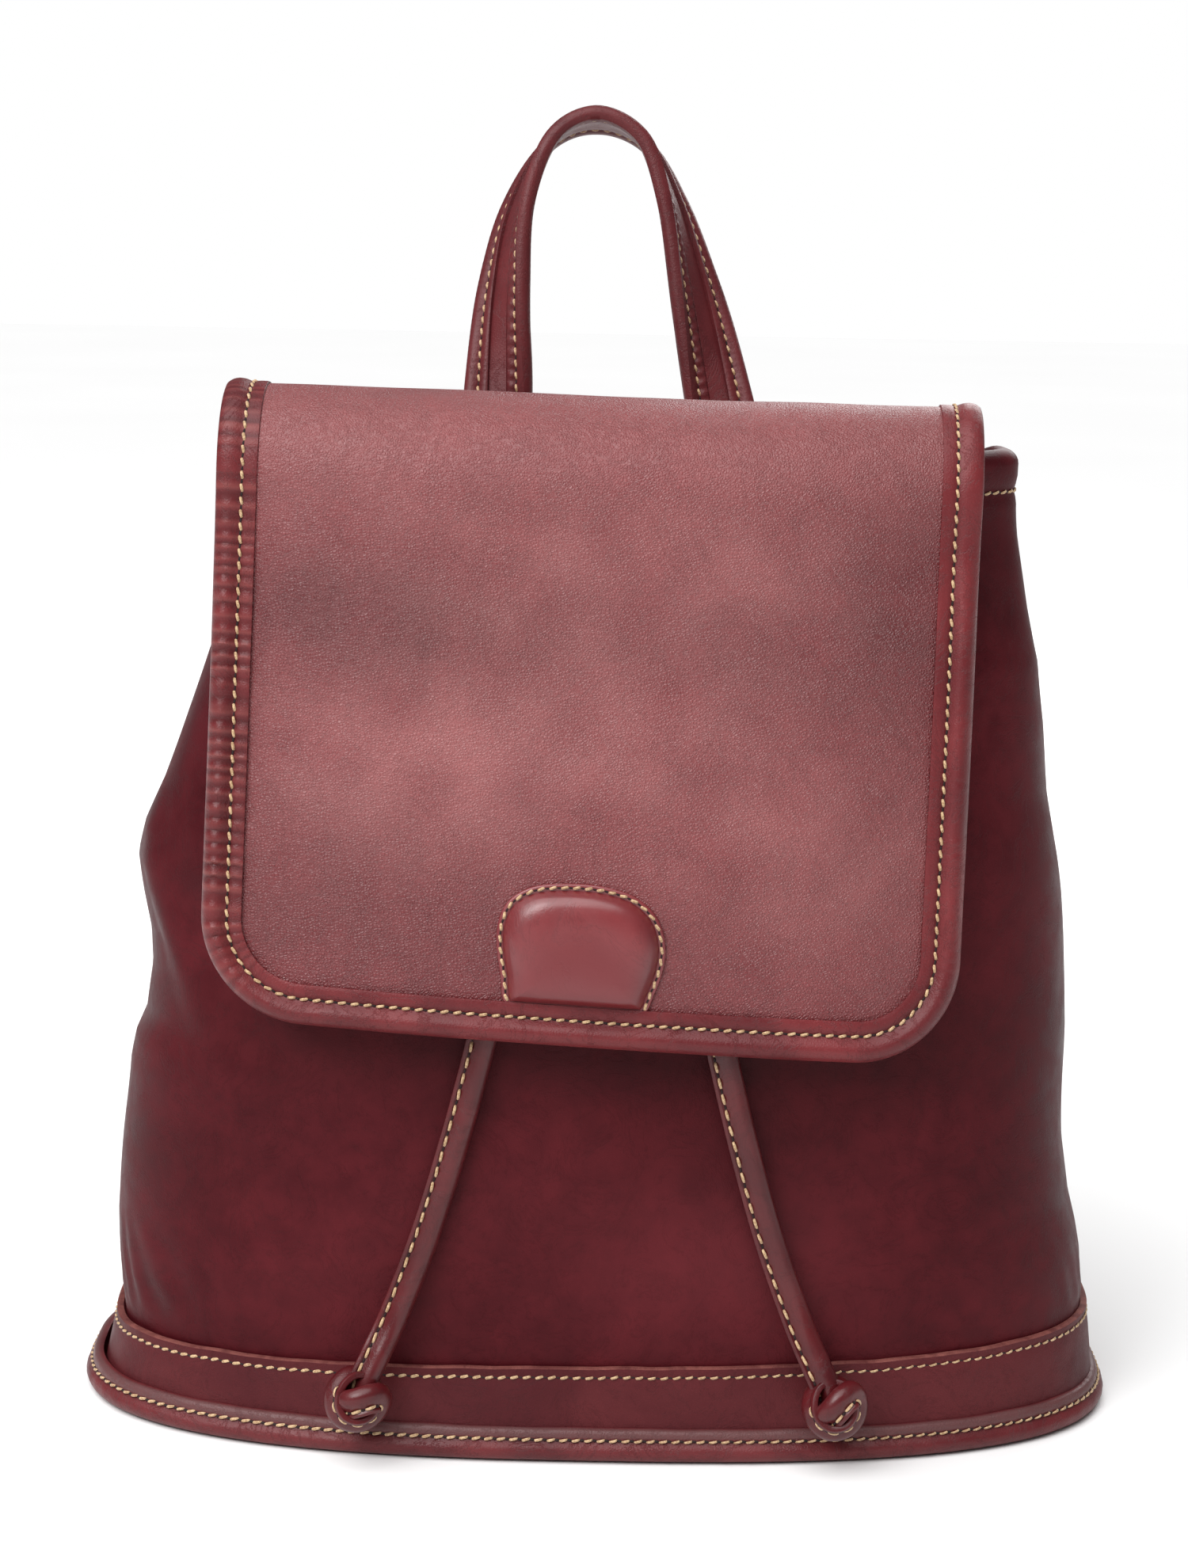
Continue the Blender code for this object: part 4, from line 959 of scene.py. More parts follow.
def build_flap():
    end = FLAP_LENGTH - 0.0030
    s = np.concatenate((
        np.linspace(-TAIL_LENGTH + 0.001, 0.012, 40), np.linspace(0.014, FLAP_LENGTH - 0.034, 110),
        end - 0.030 * (1 - np.sin(np.radians(np.linspace(5, 90, 18)))),
    ))
    share = np.linspace(1.0, -1.0, 121)
    u = flap_half(np.minimum(s, end - 0.00005), 0.0030)[:, None] * share[None, :]
    rows = np.broadcast_to(s[:, None], u.shape)
    grid = fold(u, rows, flap_swell(u, rows))
    verts, faces = sheet_mesh(grid, FLAP_THICK)
    obj = piece("flap_leather_sheet", verts, faces, [FLAP_LEATHER], None)
    flat = np.stack((u, rows), axis=-1).reshape(-1, 2)
    across, down = flat[:, 0], flat[:, 1]
    uneven = 1.0 + 0.35 * ripple(flat, 0.028, 61)
    # Painted sheen: a band along the crest where the top light falls, and hazy patches. Painted shade:
    # darker patches, the right side darker away from the light, and the underside. The flap is also darker
    # over the tail and the back of the top, and towards the foot.
    painted_sheen = 0.22 * bump(0.112, 0.050, down) + soft_patches(across, down, FLAP_SHEEN_PATCHES) * uneven
    dark = soft_patches(across, down, FLAP_SHADE_PATCHES) * uneven + 0.10 * smooth(0.25, 0.29, down)
    dark = dark + 0.30 * (1 - smooth(0.0, 0.07, down)) + 0.16 * smooth(0.05, 0.10, across)
    shade(obj, "tint_and_painted_light", np.clip(np.concatenate((painted_sheen, painted_sheen * 0)), 0, 1))
    shade(obj, "shadow", np.clip(np.concatenate((dark, dark * 0 + 0.3)), 0, 1))
    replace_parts(obj, "flap_panel", "flap_tail")
    bend_at_hinge(obj)

    # Binding: flange, stitched valley, full roll, and the same on the underside.
    section = rounded((
        (0.0119, 0.0001), (0.0119, 0.0012), (0.0106, 0.0014), (0.0088, 0.0013), (0.0077, 0.0007),
        (0.0067, 0.0013), (0.0052, 0.0026), (0.0034, 0.0031), (0.0016, 0.0023), (0.0003, 0.0004),
        (0.0001, -0.0014), (0.0010, -0.0034), (0.0030, -0.0042), (0.0056, -0.0038), (0.0080, -0.0031),
        (0.0112, -0.0034), (0.0116, -0.0028), (0.0114, -0.0021),
    ), 2)
    edges = [flap_edge(inset) for inset, _ in section]
    outer = edges[int(np.argmin(section[:, 0]))]
    along = lengths(outer)
    total = along[-1]
    left_side = 1 - smooth(0.36 * total, 0.40 * total, along)
    bottom = bump(0.5 * total, 0.14 * total, along)
    right_side = smooth(0.60 * total, 0.64 * total, along)
    phase = 2 * math.pi * along / 0.0043 + 2.6 * np.sin(along / 0.011) + 1.7 * np.sin(along / 0.0047 + 1.0)
    coarse = np.sin(phase) - 0.35 * np.cos(2 * phase + along / 0.006)
    coarse = coarse * (0.65 + 0.45 * ripple(np.stack((along, along * 0), axis=1), 0.019, 73))
    finer = np.sin(2 * math.pi * along / 0.0021 + 1.7 * np.sin(along / 0.009))
    rings = []
    for (inset, h), edge in zip(section, edges):
        roll = bump(0.0036, 0.0046, inset) * smooth(-0.003, 0.001, h)
        flange = bump(0.0098, 0.0036, inset) * (h > 0.0005)
        strength = MM * (0.48 * left_side + 0.10 * right_side)
        lift = roll * (strength * coarse + MM * 0.13 * bottom * finer + MM * 0.05 * finer)
        lift = lift + flange * MM * 0.34 * left_side * coarse
        place = np.stack((along, np.full_like(along, inset * 2)), axis=1)
        lift = lift + 0.10 * MM * ripple(place, 0.02, 71) * (h > 0)
        level = np.where(h > 0, (h + lift) * binding_fullness(edge), h + lift)
        rings.append(fold(edge[:, 0], edge[:, 1], level + flap_swell(edge[:, 0], edge[:, 1])))
    rings = np.array(rings).transpose(1, 0, 2)
    binding = loft("flap_edge_binding", rings, [BINDING_LEATHER], None)
    # Painted shade in the stitched valley and in the troughs of the puckers, the left side a little darker,
    # and a painted highlight on the puckers' ridges.
    dips = np.tile(0.22 * bump(0.0077, 0.0022, section[:, 0]) * (section[:, 1] > 0), len(along))
    creases = (0.45 * left_side * smooth(0.2, -0.9, coarse))[:, None] * np.ones(len(section))[None, :]
    darker = dips + creases.ravel() + np.repeat(0.10 * left_side, len(section))
    shade(binding, "shadow", np.clip(darker, 0, 1))
    shade(binding, "tint_and_painted_light", np.repeat(0.34 * left_side * smooth(0.1, 0.9, coarse), len(section)))
    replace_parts(binding, "flap_binding")
    bend_at_hinge(binding)

    edge = flap_edge(0.0077)
    swell = flap_swell(edge[:, 0], edge[:, 1])
    full = binding_fullness(edge)
    line = fold(edge[:, 0], edge[:, 1], 0.0009 * full + swell)
    above = fold(edge[:, 0], edge[:, 1], 0.0030 * full + swell)
    row = stitches("stitches_flap", line, unit(above - line), None)
    bend_at_hinge(row)


def bend_at_hinge(obj):
    """Bakes the place of leather that runs from the back of the body over the hinge onto the flap into its
    mesh; it does not bend with the hinge.
    """
    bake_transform(obj)


# ---------------------------------------------------------------- badge and snap
# Badge outline on the flap, in millimetres: across from its middle, up from the binding.
BADGE_OUTLINE = (
    (-19.6, -1.0), (-21.6, 8.0), (-23.0, 16.0), (-22.8, 22.5), (-20.2, 28.4), (-14.0, 32.4), (-5.0, 33.8),
    (5.5, 33.6), (14.5, 31.2), (20.4, 26.0), (22.8, 19.0), (22.4, 12.0), (20.2, 5.0), (17.2, -1.0),
    (9.0, -1.0), (0.0, -1.0), (-10.0, -1.0),
)
BADGE_CENTRE = (0.0002, 0.0160)
DOME_GROW = -0.0014


def badge_outline(grow, per_span=8):
    """The badge's outline in the flap's pattern, moved out by GROW, or in where it is negative."""
    outline = rounded(np.array(BADGE_OUTLINE) * MM, per_span)
    ahead = unit(np.roll(outline, -1, axis=0) - np.roll(outline, 1, axis=0))
    outline = outline + np.stack((-ahead[:, 1], ahead[:, 0]), axis=1) * grow
    outline[:, 1] = np.maximum(outline[:, 1], -0.0004 - 0.8 * min(grow, 0.0))
    return outline


def badge_ring(grow, h, per_span=8):
    return badge_place(badge_outline(grow, per_span), h)


def badge_scaled(scale, grow, h):
    """The ring at GROW drawn in towards the badge's centre, with its corners rounder the further in."""
    outline = badge_outline(grow)
    centre = np.array(BADGE_CENTRE)
    reach = outline - centre
    distance = np.linalg.norm(reach, axis=1, keepdims=True)
    round_share = 0.5 * smooth(1.0, 0.6, scale) + 0.25 * smooth(1.0, 0.94, scale)
    limit = np.minimum(distance, distance * (1 - round_share) + 0.0195 * round_share)
    return badge_place(centre + reach / distance * limit * scale, h)


def badge_place(outline, h):
    u, s = outline[:, 0], FLAP_LENGTH - BINDING_WIDTH - 0.0002 - outline[:, 1]
    return fold(u, s, h + flap_swell(u, s))


def build_badge():
    # Rings from the rim, as growth and level, over the dome, as scale and level.
    rim = (
        (0.0012, -0.0004), (0.0012, 0.0008), (0.0008, 0.0012), (0.0, 0.0010), (-0.0007, 0.0009),
        (-0.0012, 0.0016),
    )
    dome = (
        (0.97, 0.0030), (0.93, 0.0041), (0.86, 0.0049), (0.76, 0.0054), (0.60, 0.0057), (0.42, 0.0058),
        (0.2, 0.0058), (0.04, 0.0058),
    )
    rings = [badge_ring(grow, h) for grow, h in rim]
    rings += [badge_scaled(scale, DOME_GROW, h) for scale, h in dome]
    rings = np.array(rings)
    count = rings.shape[1]
    badge = loft("badge_dome", rings, [BADGE_LEATHER], "flap", sharp=60)
    # Painted shade on the dome's flanks, and at its foot darker and deeper red, also painted shade.
    flank = np.repeat([0.1, 0.1, 0.05, 0.25, 0.45, 0.30, 0.30, 0.25, 0.15] + [0.0] * (len(dome) - 3), count)
    level = np.tile(badge_outline(0.0)[:, 1], len(rings))
    level = level * np.repeat([1.0] * len(rim) + [scale for scale, _ in dome], count)
    foot = (1 - smooth(0.002, 0.013, level)) * (np.arange(len(flank)) >= len(rim) * count)
    shade(badge, "shadow", np.clip(flank + 0.10 * foot, 0, 1))
    shade(badge, "tint_and_painted_light", 0.75 * foot)
    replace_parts(badge, "flap_badge")
    # The row follows the rim but for its foot, the outline's last four spans, under the flap's binding.
    per_span = 16
    shown = slice(2, -4 * per_span - 2)
    line = badge_ring(0.0001, 0.0010, per_span)[shown]
    above = badge_ring(0.0001, 0.0030, per_span)[shown]
    stitches("stitches_badge", line, unit(above - line), "flap", 0.0034)
    pad_levels = ((0.88, 0.0008), (0.88, 0.0022), (0.84, 0.0032), (0.66, 0.0037), (0.30, 0.0038))
    pad_rings = np.array([badge_scaled(scale, DOME_GROW, h) for scale, h in pad_levels])
    pad = loft("badge_padding", pad_rings, [FOAM], "flap")
    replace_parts(pad, "badge_pad")

    for name, node, body in (("snap_cap", "snap_stud", "flap"), ("snap_dish", "snap_socket", "bag")):
        low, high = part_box(node)
        centre = np.array((low + high) / 2)
        points = np.array([v.co for v in frame["nodes"][node].data.vertices])
        _, _, axes = np.linalg.svd(points - points.mean(0), full_matrices=False)
        normal = axes[2] if axes[2][1] < 0 else -axes[2]
        side = unit(np.cross(normal, (0, 0, 1.0)))
        up = np.cross(side, normal)
        radius = float(np.max(np.linalg.norm(points - centre, axis=1))) - 0.0002
        turns = 2 * math.pi * np.arange(48) / 48
        around = side * np.cos(turns)[:, None] + up * np.sin(turns)[:, None]
        levels = (
            (0.94, -0.0013), (1.0, -0.0010), (1.0, 0.0007), (0.95, 0.0012), (0.62, 0.0013),
            (0.56, 0.0009),
            (0.2, 0.0009),
        )
        rings = [centre + normal * h + around * radius * share for share, h in levels]
        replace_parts(loft(name, np.array(rings), [BRASS], body), node)


# ---------------------------------------------------------------- handle
HANDLE_LEAN_DEG = 14.0
HANDLE_TWIST = 0.1150
HANDLE_FOOT = np.array(JOINTS["handle_swing"]["pos_m"])
# The arch in its leaning plane: across, height above the pivot. The ends run down under the yoke.
HANDLE_ARCH = (
    (-0.0368, -0.0260), (-0.0368, 0.0000), (-0.0368, 0.0260), (-0.0358, 0.0580), (-0.0318, 0.0850),
    (-0.0214, 0.1068),
    (-0.0062, 0.1140), (0.0094, 0.1070), (0.0188, 0.0880), (0.0256, 0.0640), (0.0334, 0.0300),
    (0.0374, 0.0080), (0.0383, -0.0120), (0.0386, -0.0260),
)


def handle_axes(marks):
    """Centre, width direction and face direction of the handle at distances along it."""
    lean = math.radians(HANDLE_LEAN_DEG)
    up = np.array((0.0, math.sin(lean), math.cos(lean)))
    back = np.array((0.0, math.cos(lean), -math.sin(lean)))
    arch = curve(HANDLE_ARCH, 24)
    apex = lengths(arch)[int(np.argmax(arch[:, 1]))]
    place = resample(arch, marks)
    ahead = unit(resample(arch, marks + 0.001) - resample(arch, marks - 0.001))
    turn = np.radians(90.0) * np.clip(1.0 - (np.abs(marks - apex) / HANDLE_TWIST) ** 1.3, 0.0, 1.0)
    side = -ahead[:, 1:2] * np.array((1.0, 0, 0)) + ahead[:, 0:1] * up
    wide = side * np.cos(turn)[:, None] + back * np.sin(turn)[:, None]
    forward = ahead[:, 0:1] * np.array((1.0, 0, 0)) + ahead[:, 1:2] * up
    face = unit(np.cross(forward, wide))
    centre = HANDLE_FOOT + place[:, 0:1] * np.array((1.0, 0, 0)) + place[:, 1:2] * up
    # Below the pivot the ends lie flat against the back, under the yoke.
    below = smooth(0.002, -0.010, place[:, 1])
    target = back_y(centre[:, 0], np.clip(centre[:, 2], 0.24, 0.29)) + 0.0048
    centre[:, 1] = centre[:, 1] * (1 - below) + target * below
    return centre, wide, face


def build_handle():
    total = lengths(curve(HANDLE_ARCH, 24))[-1]
    marks = np.linspace(0.0015, total - 0.0015, 520)
    centre, wide, face = handle_axes(marks)
    # Front face from the outer edge to the inner one, then the back face.
    section = np.array((
        (0.01125, 0.0000), (0.0107, 0.0014), (0.0096, 0.0022), (0.0082, 0.0021), (0.0070, 0.0015),
        (0.0062, 0.0010), (0.0054, 0.0016), (0.0042, 0.0021), (0.0033, 0.0021), (0.0029, 0.0018),
        (0.0028, 0.0008),
        (0.0020, 0.0009), (0.0000, 0.0011), (-0.0020, 0.0011), (-0.0031, 0.0010), (-0.0033, 0.00075),
        (-0.0036, 0.0012), (-0.0048, 0.0015), (-0.0058, 0.0013), (-0.0065, 0.0008), (-0.0072, 0.0015),
        (-0.0082, 0.0024), (-0.0094, 0.0027), (-0.0106, 0.0020), (-0.0114, 0.0006), (-0.0114, -0.0008),
        (-0.0106, -0.0020), (-0.0092, -0.0025), (-0.0076, -0.0020), (-0.0065, -0.0012),
        (-0.0052, -0.0017),
        (-0.0030, -0.0016), (0.0000, -0.0015), (0.0030, -0.0016), (0.0050, -0.0017), (0.0062, -0.0012),
        (0.0074, -0.0019), (0.0090, -0.0023), (0.0104, -0.0017),
    ))
    sections = np.repeat(section[None], len(marks), axis=0)
    random = np.random.default_rng(81)
    pucker = np.sin(2 * math.pi * marks / 0.0037 + 1.2 * np.sin(marks / 0.008))
    small = np.sin(2 * math.pi * marks / 0.0019 + 1.9 * np.sin(marks / 0.006))
    for index, (across, out) in enumerate(section):
        front = 1.0 if out > 0 else 0.6
        inner_row = bump(-0.0054, 0.0026, across)
        outer_row = bump(0.0060, 0.0030, across)
        edge = bump(0.0112, 0.004, abs(across))
        push = 0.26 * MM * inner_row * pucker + 0.10 * MM * outer_row * small + 0.03 * MM * edge * small
        push = push + 0.05 * MM * random.normal()
        sections[:, index, 1] += np.sign(out) * front * push
        sections[:, index, 0] += np.sign(across) * 0.10 * MM * edge * np.sin(marks / 0.007 + index)
    rings = sweep(centre, wide, face, sections)
    handle = loft("top_handle", rings, [STRAP_LEATHER], None)
    across, front = section[:, 0], section[:, 1] > 0
    # Painted shade in the grooves along the stitch rows and on the inner rolled edge.
    creases = 0.28 * bump(0.0027, 0.0008, across) * front + 0.16 * (across < -0.0075)
    creases = creases + 0.10 * bump(-0.0052, 0.003, across) * front
    shade(handle, "shadow", np.tile(creases, len(marks)))
    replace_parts(handle, "handle_strap")
    bend_at_handle(handle)
    inside = marks[(marks > 0.018) & (marks < total - 0.018)]
    centre, wide, face = handle_axes(inside)
    for name, across, out, sign in (
        ("stitches_handle_outer", 0.0062, 0.0011, 1), ("stitches_handle_inner", -0.0065, 0.0009, 1),
        ("stitches_handle_outer_back", 0.0062, -0.0013, -1),
        ("stitches_handle_inner_back", -0.0065, -0.0013, -1),
    ):
        line = centre + wide * across + face * out
        bend_at_handle(stitches(name, line, face * sign, None, 0.0039))


def bend_at_handle(obj):
    """Bakes the piece's place into its mesh. The handle's ends are sewn to the back; the bend just above the
    yoke is in its shape, not made here.
    """
    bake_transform(obj)


# ---------------------------------------------------------------- back patch
YOKE_HALF, YOKE_BOTTOM, YOKE_TOP = 0.0640, 0.2360, 0.2760


def back_place(x, height, lift):
    x, height, lift = (np.asarray(value, float) for value in np.broadcast_arrays(x, height, lift))
    return np.stack((x, back_y(x, height) + lift, height), axis=-1)


def build_yoke():
    """A patch with rounded corners that swells over the sewn ends beneath it."""
    radius = 0.009
    heights = np.concatenate((
        YOKE_BOTTOM + radius * (1 - np.cos(np.radians(np.linspace(0, 90, 10)))),
        np.linspace(YOKE_BOTTOM + radius, YOKE_TOP - radius, 30)[1:-1],
        YOKE_TOP - radius * (1 - np.sin(np.radians(np.linspace(0, 90, 10)))),
    ))
    edge = np.maximum(YOKE_BOTTOM + radius - heights, heights - (YOKE_TOP - radius))
    half = YOKE_HALF - radius + np.sqrt(np.maximum(radius**2 - np.clip(edge, 0, radius) ** 2, 0))
    share = np.linspace(1, -1, 141)
    x = half[:, None] * share[None, :]
    z = np.broadcast_to(heights[:, None], x.shape)

    def swell(x, z):
        rim = smooth(0.0, 0.006, YOKE_HALF - np.abs(x)) * smooth(0.0, 0.005, z - YOKE_BOTTOM)
        legs = np.maximum(bump(-0.0368, 0.0165, x), bump(0.0380, 0.0165, x)) * smooth(0.250, 0.262, z)
        straps = np.maximum(bump(-0.030, 0.0125, x), bump(0.030, 0.0125, x)) * (1 - smooth(0.238, 0.252, z))
        unevenness = 0.0002 * ripple(np.stack((x, z), -1), 0.03, 91)
        return 0.0048 + 0.0032 * legs ** 0.7 + 0.0012 * straps * rim + unevenness

    grid = back_place(x, z, swell(x, z))
    verts, faces = sheet_mesh(grid, LEATHER)
    yoke = piece("yoke_patch", verts, faces, [BODY_LEATHER], "bag")
    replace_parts(yoke, "back_yoke")
    inset = 0.0032
    bend = radius - inset
    corners = []
    for cx, cz, start in (
        (YOKE_HALF - radius, YOKE_BOTTOM + radius, 270), (YOKE_HALF - radius, YOKE_TOP - radius, 0),
        (-YOKE_HALF + radius, YOKE_TOP - radius, 90), (-YOKE_HALF + radius, YOKE_BOTTOM + radius, 180),
    ):
        turns = np.radians(np.linspace(start, start + 90, 9))
        corners.append(np.stack((cx + bend * np.cos(turns), cz + bend * np.sin(turns)), axis=1))
    outline = np.vstack(corners + [corners[0][:1]])
    marks = np.linspace(0, lengths(outline)[-1], 400)
    outline = resample(outline, marks)
    line = back_place(outline[:, 0], outline[:, 1], swell(outline[:, 0], outline[:, 1]))
    stitches("stitches_yoke", line, np.tile((0.0, 1.0, 0.0), (len(line), 1)), "bag")

    x = np.linspace(-TAIL_HALF + 0.016, TAIL_HALF - 0.016, 300)
    line = fold(x, np.full_like(x, -TAIL_LENGTH + 0.0045), 0.0001)
    keep = np.abs(line[:, 0]) > YOKE_HALF + 0.002
    for word, part in (("left", line[keep & (line[:, 0] < 0)]), ("right", line[keep & (line[:, 0] > 0)])):
        stitches(f"stitches_tail_{word}", part, np.tile((0.0, 1.0, 0.0), (len(part), 1)), "bag")


# ---------------------------------------------------------------- shoulder straps
STRAP_BELLY = (
    (0.0000, 0.0000), (0.0220, 0.0030), (0.0480, 0.0290), (0.0720, 0.0680), (0.1000, 0.1040),
    (0.1380, 0.1280), (0.1760, 0.1220), (0.2020, 0.0880), (0.2070, 0.0450), (0.2060, 0.0160),
    (0.2142, 0.0000),
)
UPPER_THICK, LOWER_THICK = 0.0024, 0.0019
UPPER_HALF = 0.0130
END_HALF = 0.0082
LOWER_HALF = 0.0080
BUCKLE_AT = 0.2450
BUCKLE_LENGTH = 0.0180
BUCKLE_HALF = 0.0118
BUCKLE_WIRE = 0.0013
FOLD_RADIUS = 0.0030
OVERLAP = 0.0720


class StrapPlane:
    """The plane through both ends of one shoulder strap, read from its joint."""

    def __init__(self, word, side):
        joint = JOINTS[f"strap_{word}_swing"]
        axis = np.array(joint["axis"], float)
        self.top = np.array(joint["pos_m"], float)
        self.chord = unit(axis if axis[2] < 0 else -axis)
        back = np.array((0.0, 1.0, 0.0))
        self.back = unit(back - self.chord * np.dot(back, self.chord))
        self.wide = unit(np.cross(self.chord, self.back)) * side
        self.path = curve(STRAP_BELLY, 40)
        self.length = lengths(self.path)[-1]

    def flat(self, marks, out):
        marks = np.asarray(marks, float)
        ahead = unit(resample(self.path, marks + 0.004) - resample(self.path, marks - 0.004))
        normal = np.stack((-ahead[:, 1], ahead[:, 0]), axis=1)
        return resample(self.path, marks) + normal * np.asarray(out, float)[:, None]

    def lift(self, flat):
        return self.top + flat[:, 0:1] * self.chord + flat[:, 1:2] * self.back

    def middle(self, mark, out):
        return self.lift(self.flat([mark], [out]))[0]

    def direction(self, mark):
        """The way the strap's path runs at MARK."""
        return tangents(self.lift(self.flat([mark - 0.002, mark, mark + 0.002], [0, 0, 0])))[1]

    def ribbon(self, flat):
        """Centre, width and face directions along a line in the plane."""
        ahead = tangents(flat)
        line = self.lift(flat)
        face = -ahead[:, 1:2] * self.chord + ahead[:, 0:1] * self.back
        return line, np.repeat(self.wide[None], len(line), axis=0), face


def strap_section(halves, thick, crown):
    """A flat strap's section: soft edges, a stitched valley near each, and a slight crown."""
    shape = np.array((
        (1.00, 0.10), (0.975, 0.72), (0.93, 1.0), (0.84, 0.94), (0.79, 0.70), (0.74, 0.95),
        (0.55, 1.0 + crown),
        (0.0, 1.0 + 1.4 * crown), (-0.55, 1.0 + crown), (-0.74, 0.95), (-0.79, 0.70), (-0.84, 0.94),
        (-0.93, 1.0), (-0.975, 0.72), (-1.00, 0.10), (-0.975, -0.75), (-0.90, -1.0), (-0.79, -0.85),
        (-0.5, -1.0), (0.0, -1.0), (0.5, -1.0), (0.79, -0.85), (0.90, -1.0), (0.975, -0.75),
    ))
    depths = np.full_like(halves, thick / 2)
    return np.stack((halves[:, None] * shape[None, :, 0], depths[:, None] * shape[None, :, 1]), axis=-1)


def upper_half(marks):
    """Half the upper strap's width, which is full in the middle and narrow at both ends."""
    full = smooth(0.0, 0.050, marks) * (1 - smooth(0.15, BUCKLE_AT - 0.010, marks))
    return END_HALF + (UPPER_HALF - END_HALF) * full


def build_strap(side, word):
    plane = StrapPlane(word, side)
    body = f"strap_{word}"
    heel, front = BUCKLE_AT, BUCKLE_AT + BUCKLE_LENGTH

    # Upper strap: down to the buckle's heel bar, round it and back on the inside. Two lugs pass the prong.
    marks = np.linspace(0.0005, heel, 200)
    out = np.full_like(marks, FOLD_RADIUS)
    turns = np.radians(np.linspace(85.0, -85.0, 20))
    back_marks = np.linspace(heel, heel - 0.030, 30)
    all_marks = np.concatenate((marks, heel + FOLD_RADIUS * np.cos(turns), back_marks))
    all_out = np.concatenate((out, FOLD_RADIUS * np.sin(turns), np.full_like(back_marks, -FOLD_RADIUS)))
    flat = plane.flat(all_marks, all_out)
    line, wide, face = plane.ribbon(flat)
    rings = sweep(line, wide, face, strap_section(upper_half(all_marks), UPPER_THICK, 0.18))
    strap = loft(f"upper_strap_{word}", rings, [STRAP_LEATHER], body)
    carve(strap, cutter_box(
        plane.middle(heel, 0.0), (0.0075, 0.0080, 0.0024), plane.direction(heel), plane.wide
    ))
    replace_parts(strap, f"shoulder_strap_{word}")
    inside = np.linspace(0.012, heel - 0.006, 240)
    line, wide, face = plane.ribbon(plane.flat(inside, np.full_like(inside, FOLD_RADIUS)))
    halves = upper_half(inside)
    for edge, sign in (("a", 1), ("b", -1)):
        row = line + wide * (sign * halves * 0.79)[:, None] + face * 0.00085
        stitches(f"stitches_strap_{word}_{edge}", row, face, body)

    # Lower strap: from the base corner under the front bar, over the heel bar and along the upper strap.
    total = plane.length
    under = -(BUCKLE_WIRE + 0.0012 + 0.0004)
    over = FOLD_RADIUS + 0.0024 + 0.0005
    inner = front - 0.0020
    low = np.linspace(total - 0.0005, inner, 120)
    rise = np.linspace(0, 1, 30)[1:]
    climb = inner - heel + 0.0010
    rise_marks = inner - climb * rise
    tip = np.linspace(rise_marks[-1], heel - OVERLAP, 90)[1:]
    all_marks = np.concatenate((low, rise_marks, tip))
    rise_out = under + (over - under) * smooth(0, 1, rise)
    all_out = np.concatenate((np.full_like(low, under), rise_out, np.full_like(tip, over)))
    line, wide, face = plane.ribbon(plane.flat(all_marks, all_out))
    halves = np.full(len(all_marks), LOWER_HALF)
    to_tip = all_marks - (heel - OVERLAP)
    rounding = np.sqrt(np.clip(to_tip / 0.009, 0.02, 1.0))
    halves = halves * np.where(np.arange(len(halves)) > len(low), rounding, 1.0)
    rings = sweep(line, wide, -face, strap_section(halves, LOWER_THICK, 0.10))
    lower = loft(f"lower_strap_piece_{word}", rings, [STRAP_LEATHER], body)
    carve(lower, cutter_box(
        plane.middle(heel + BUCKLE_LENGTH * 0.42, BUCKLE_WIRE), (0.0062, 0.0060, 0.0020),
        plane.direction(front - 0.007), plane.wide,
    ))
    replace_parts(lower, f"lower_strap_{word}")
    low_row = np.linspace(total - 0.006, front + 0.004, 160)
    tip_row = np.linspace(heel - 0.007, heel - OVERLAP + 0.007, 80)
    for part, chosen, level in (("low", low_row, under), ("tip", tip_row, over)):
        line, wide, face = plane.ribbon(plane.flat(chosen, np.full_like(chosen, level)))
        outer = -face
        for edge, sign in (("a", 1), ("b", -1)):
            row = line + wide * (sign * LOWER_HALF * 0.76) + outer * 0.0008
            stitches(f"stitches_lower_{word}_{part}_{edge}", row, outer, body)
    # Punched holes that were not used, along the lower strap.
    for index, mark in enumerate((front + 0.020, front + 0.036, front + 0.052, heel - 0.022, heel - 0.038)):
        level = under if mark > heel else over
        line, wide, face = plane.ribbon(plane.flat([mark - 0.001, mark, mark + 0.001], [level] * 3))
        punch(f"strap_hole_{word}_{index + 1}", line[1], -face[1], 0.0014, body)

    # Buckle: a rounded wire rectangle, and the prong on its heel bar.
    corner = 0.0030
    outline = []
    for mark, across, start in (
        (front - corner, BUCKLE_HALF - corner, 0), (heel + corner, BUCKLE_HALF - corner, 90),
        (heel + corner, -BUCKLE_HALF + corner, 180), (front - corner, -BUCKLE_HALF + corner, 270),
    ):
        for degrees in range(0, 91, 10):
            angle = math.radians(start + degrees)
            outline.append((mark + corner * math.cos(angle), across + corner * math.sin(angle)))
    outline = np.array(outline)
    ring = plane.lift(plane.flat(outline[:, 0], np.zeros(len(outline)))) + plane.wide * outline[:, 1:2]
    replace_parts(round_bar(f"buckle_{word}", ring, BUCKLE_WIRE, body, True), f"buckle_frame_{word}")
    node = frame["nodes"][f"buckle_prong_{word}"]
    node.data.materials.clear()
    node.data.materials.append(BRASS)

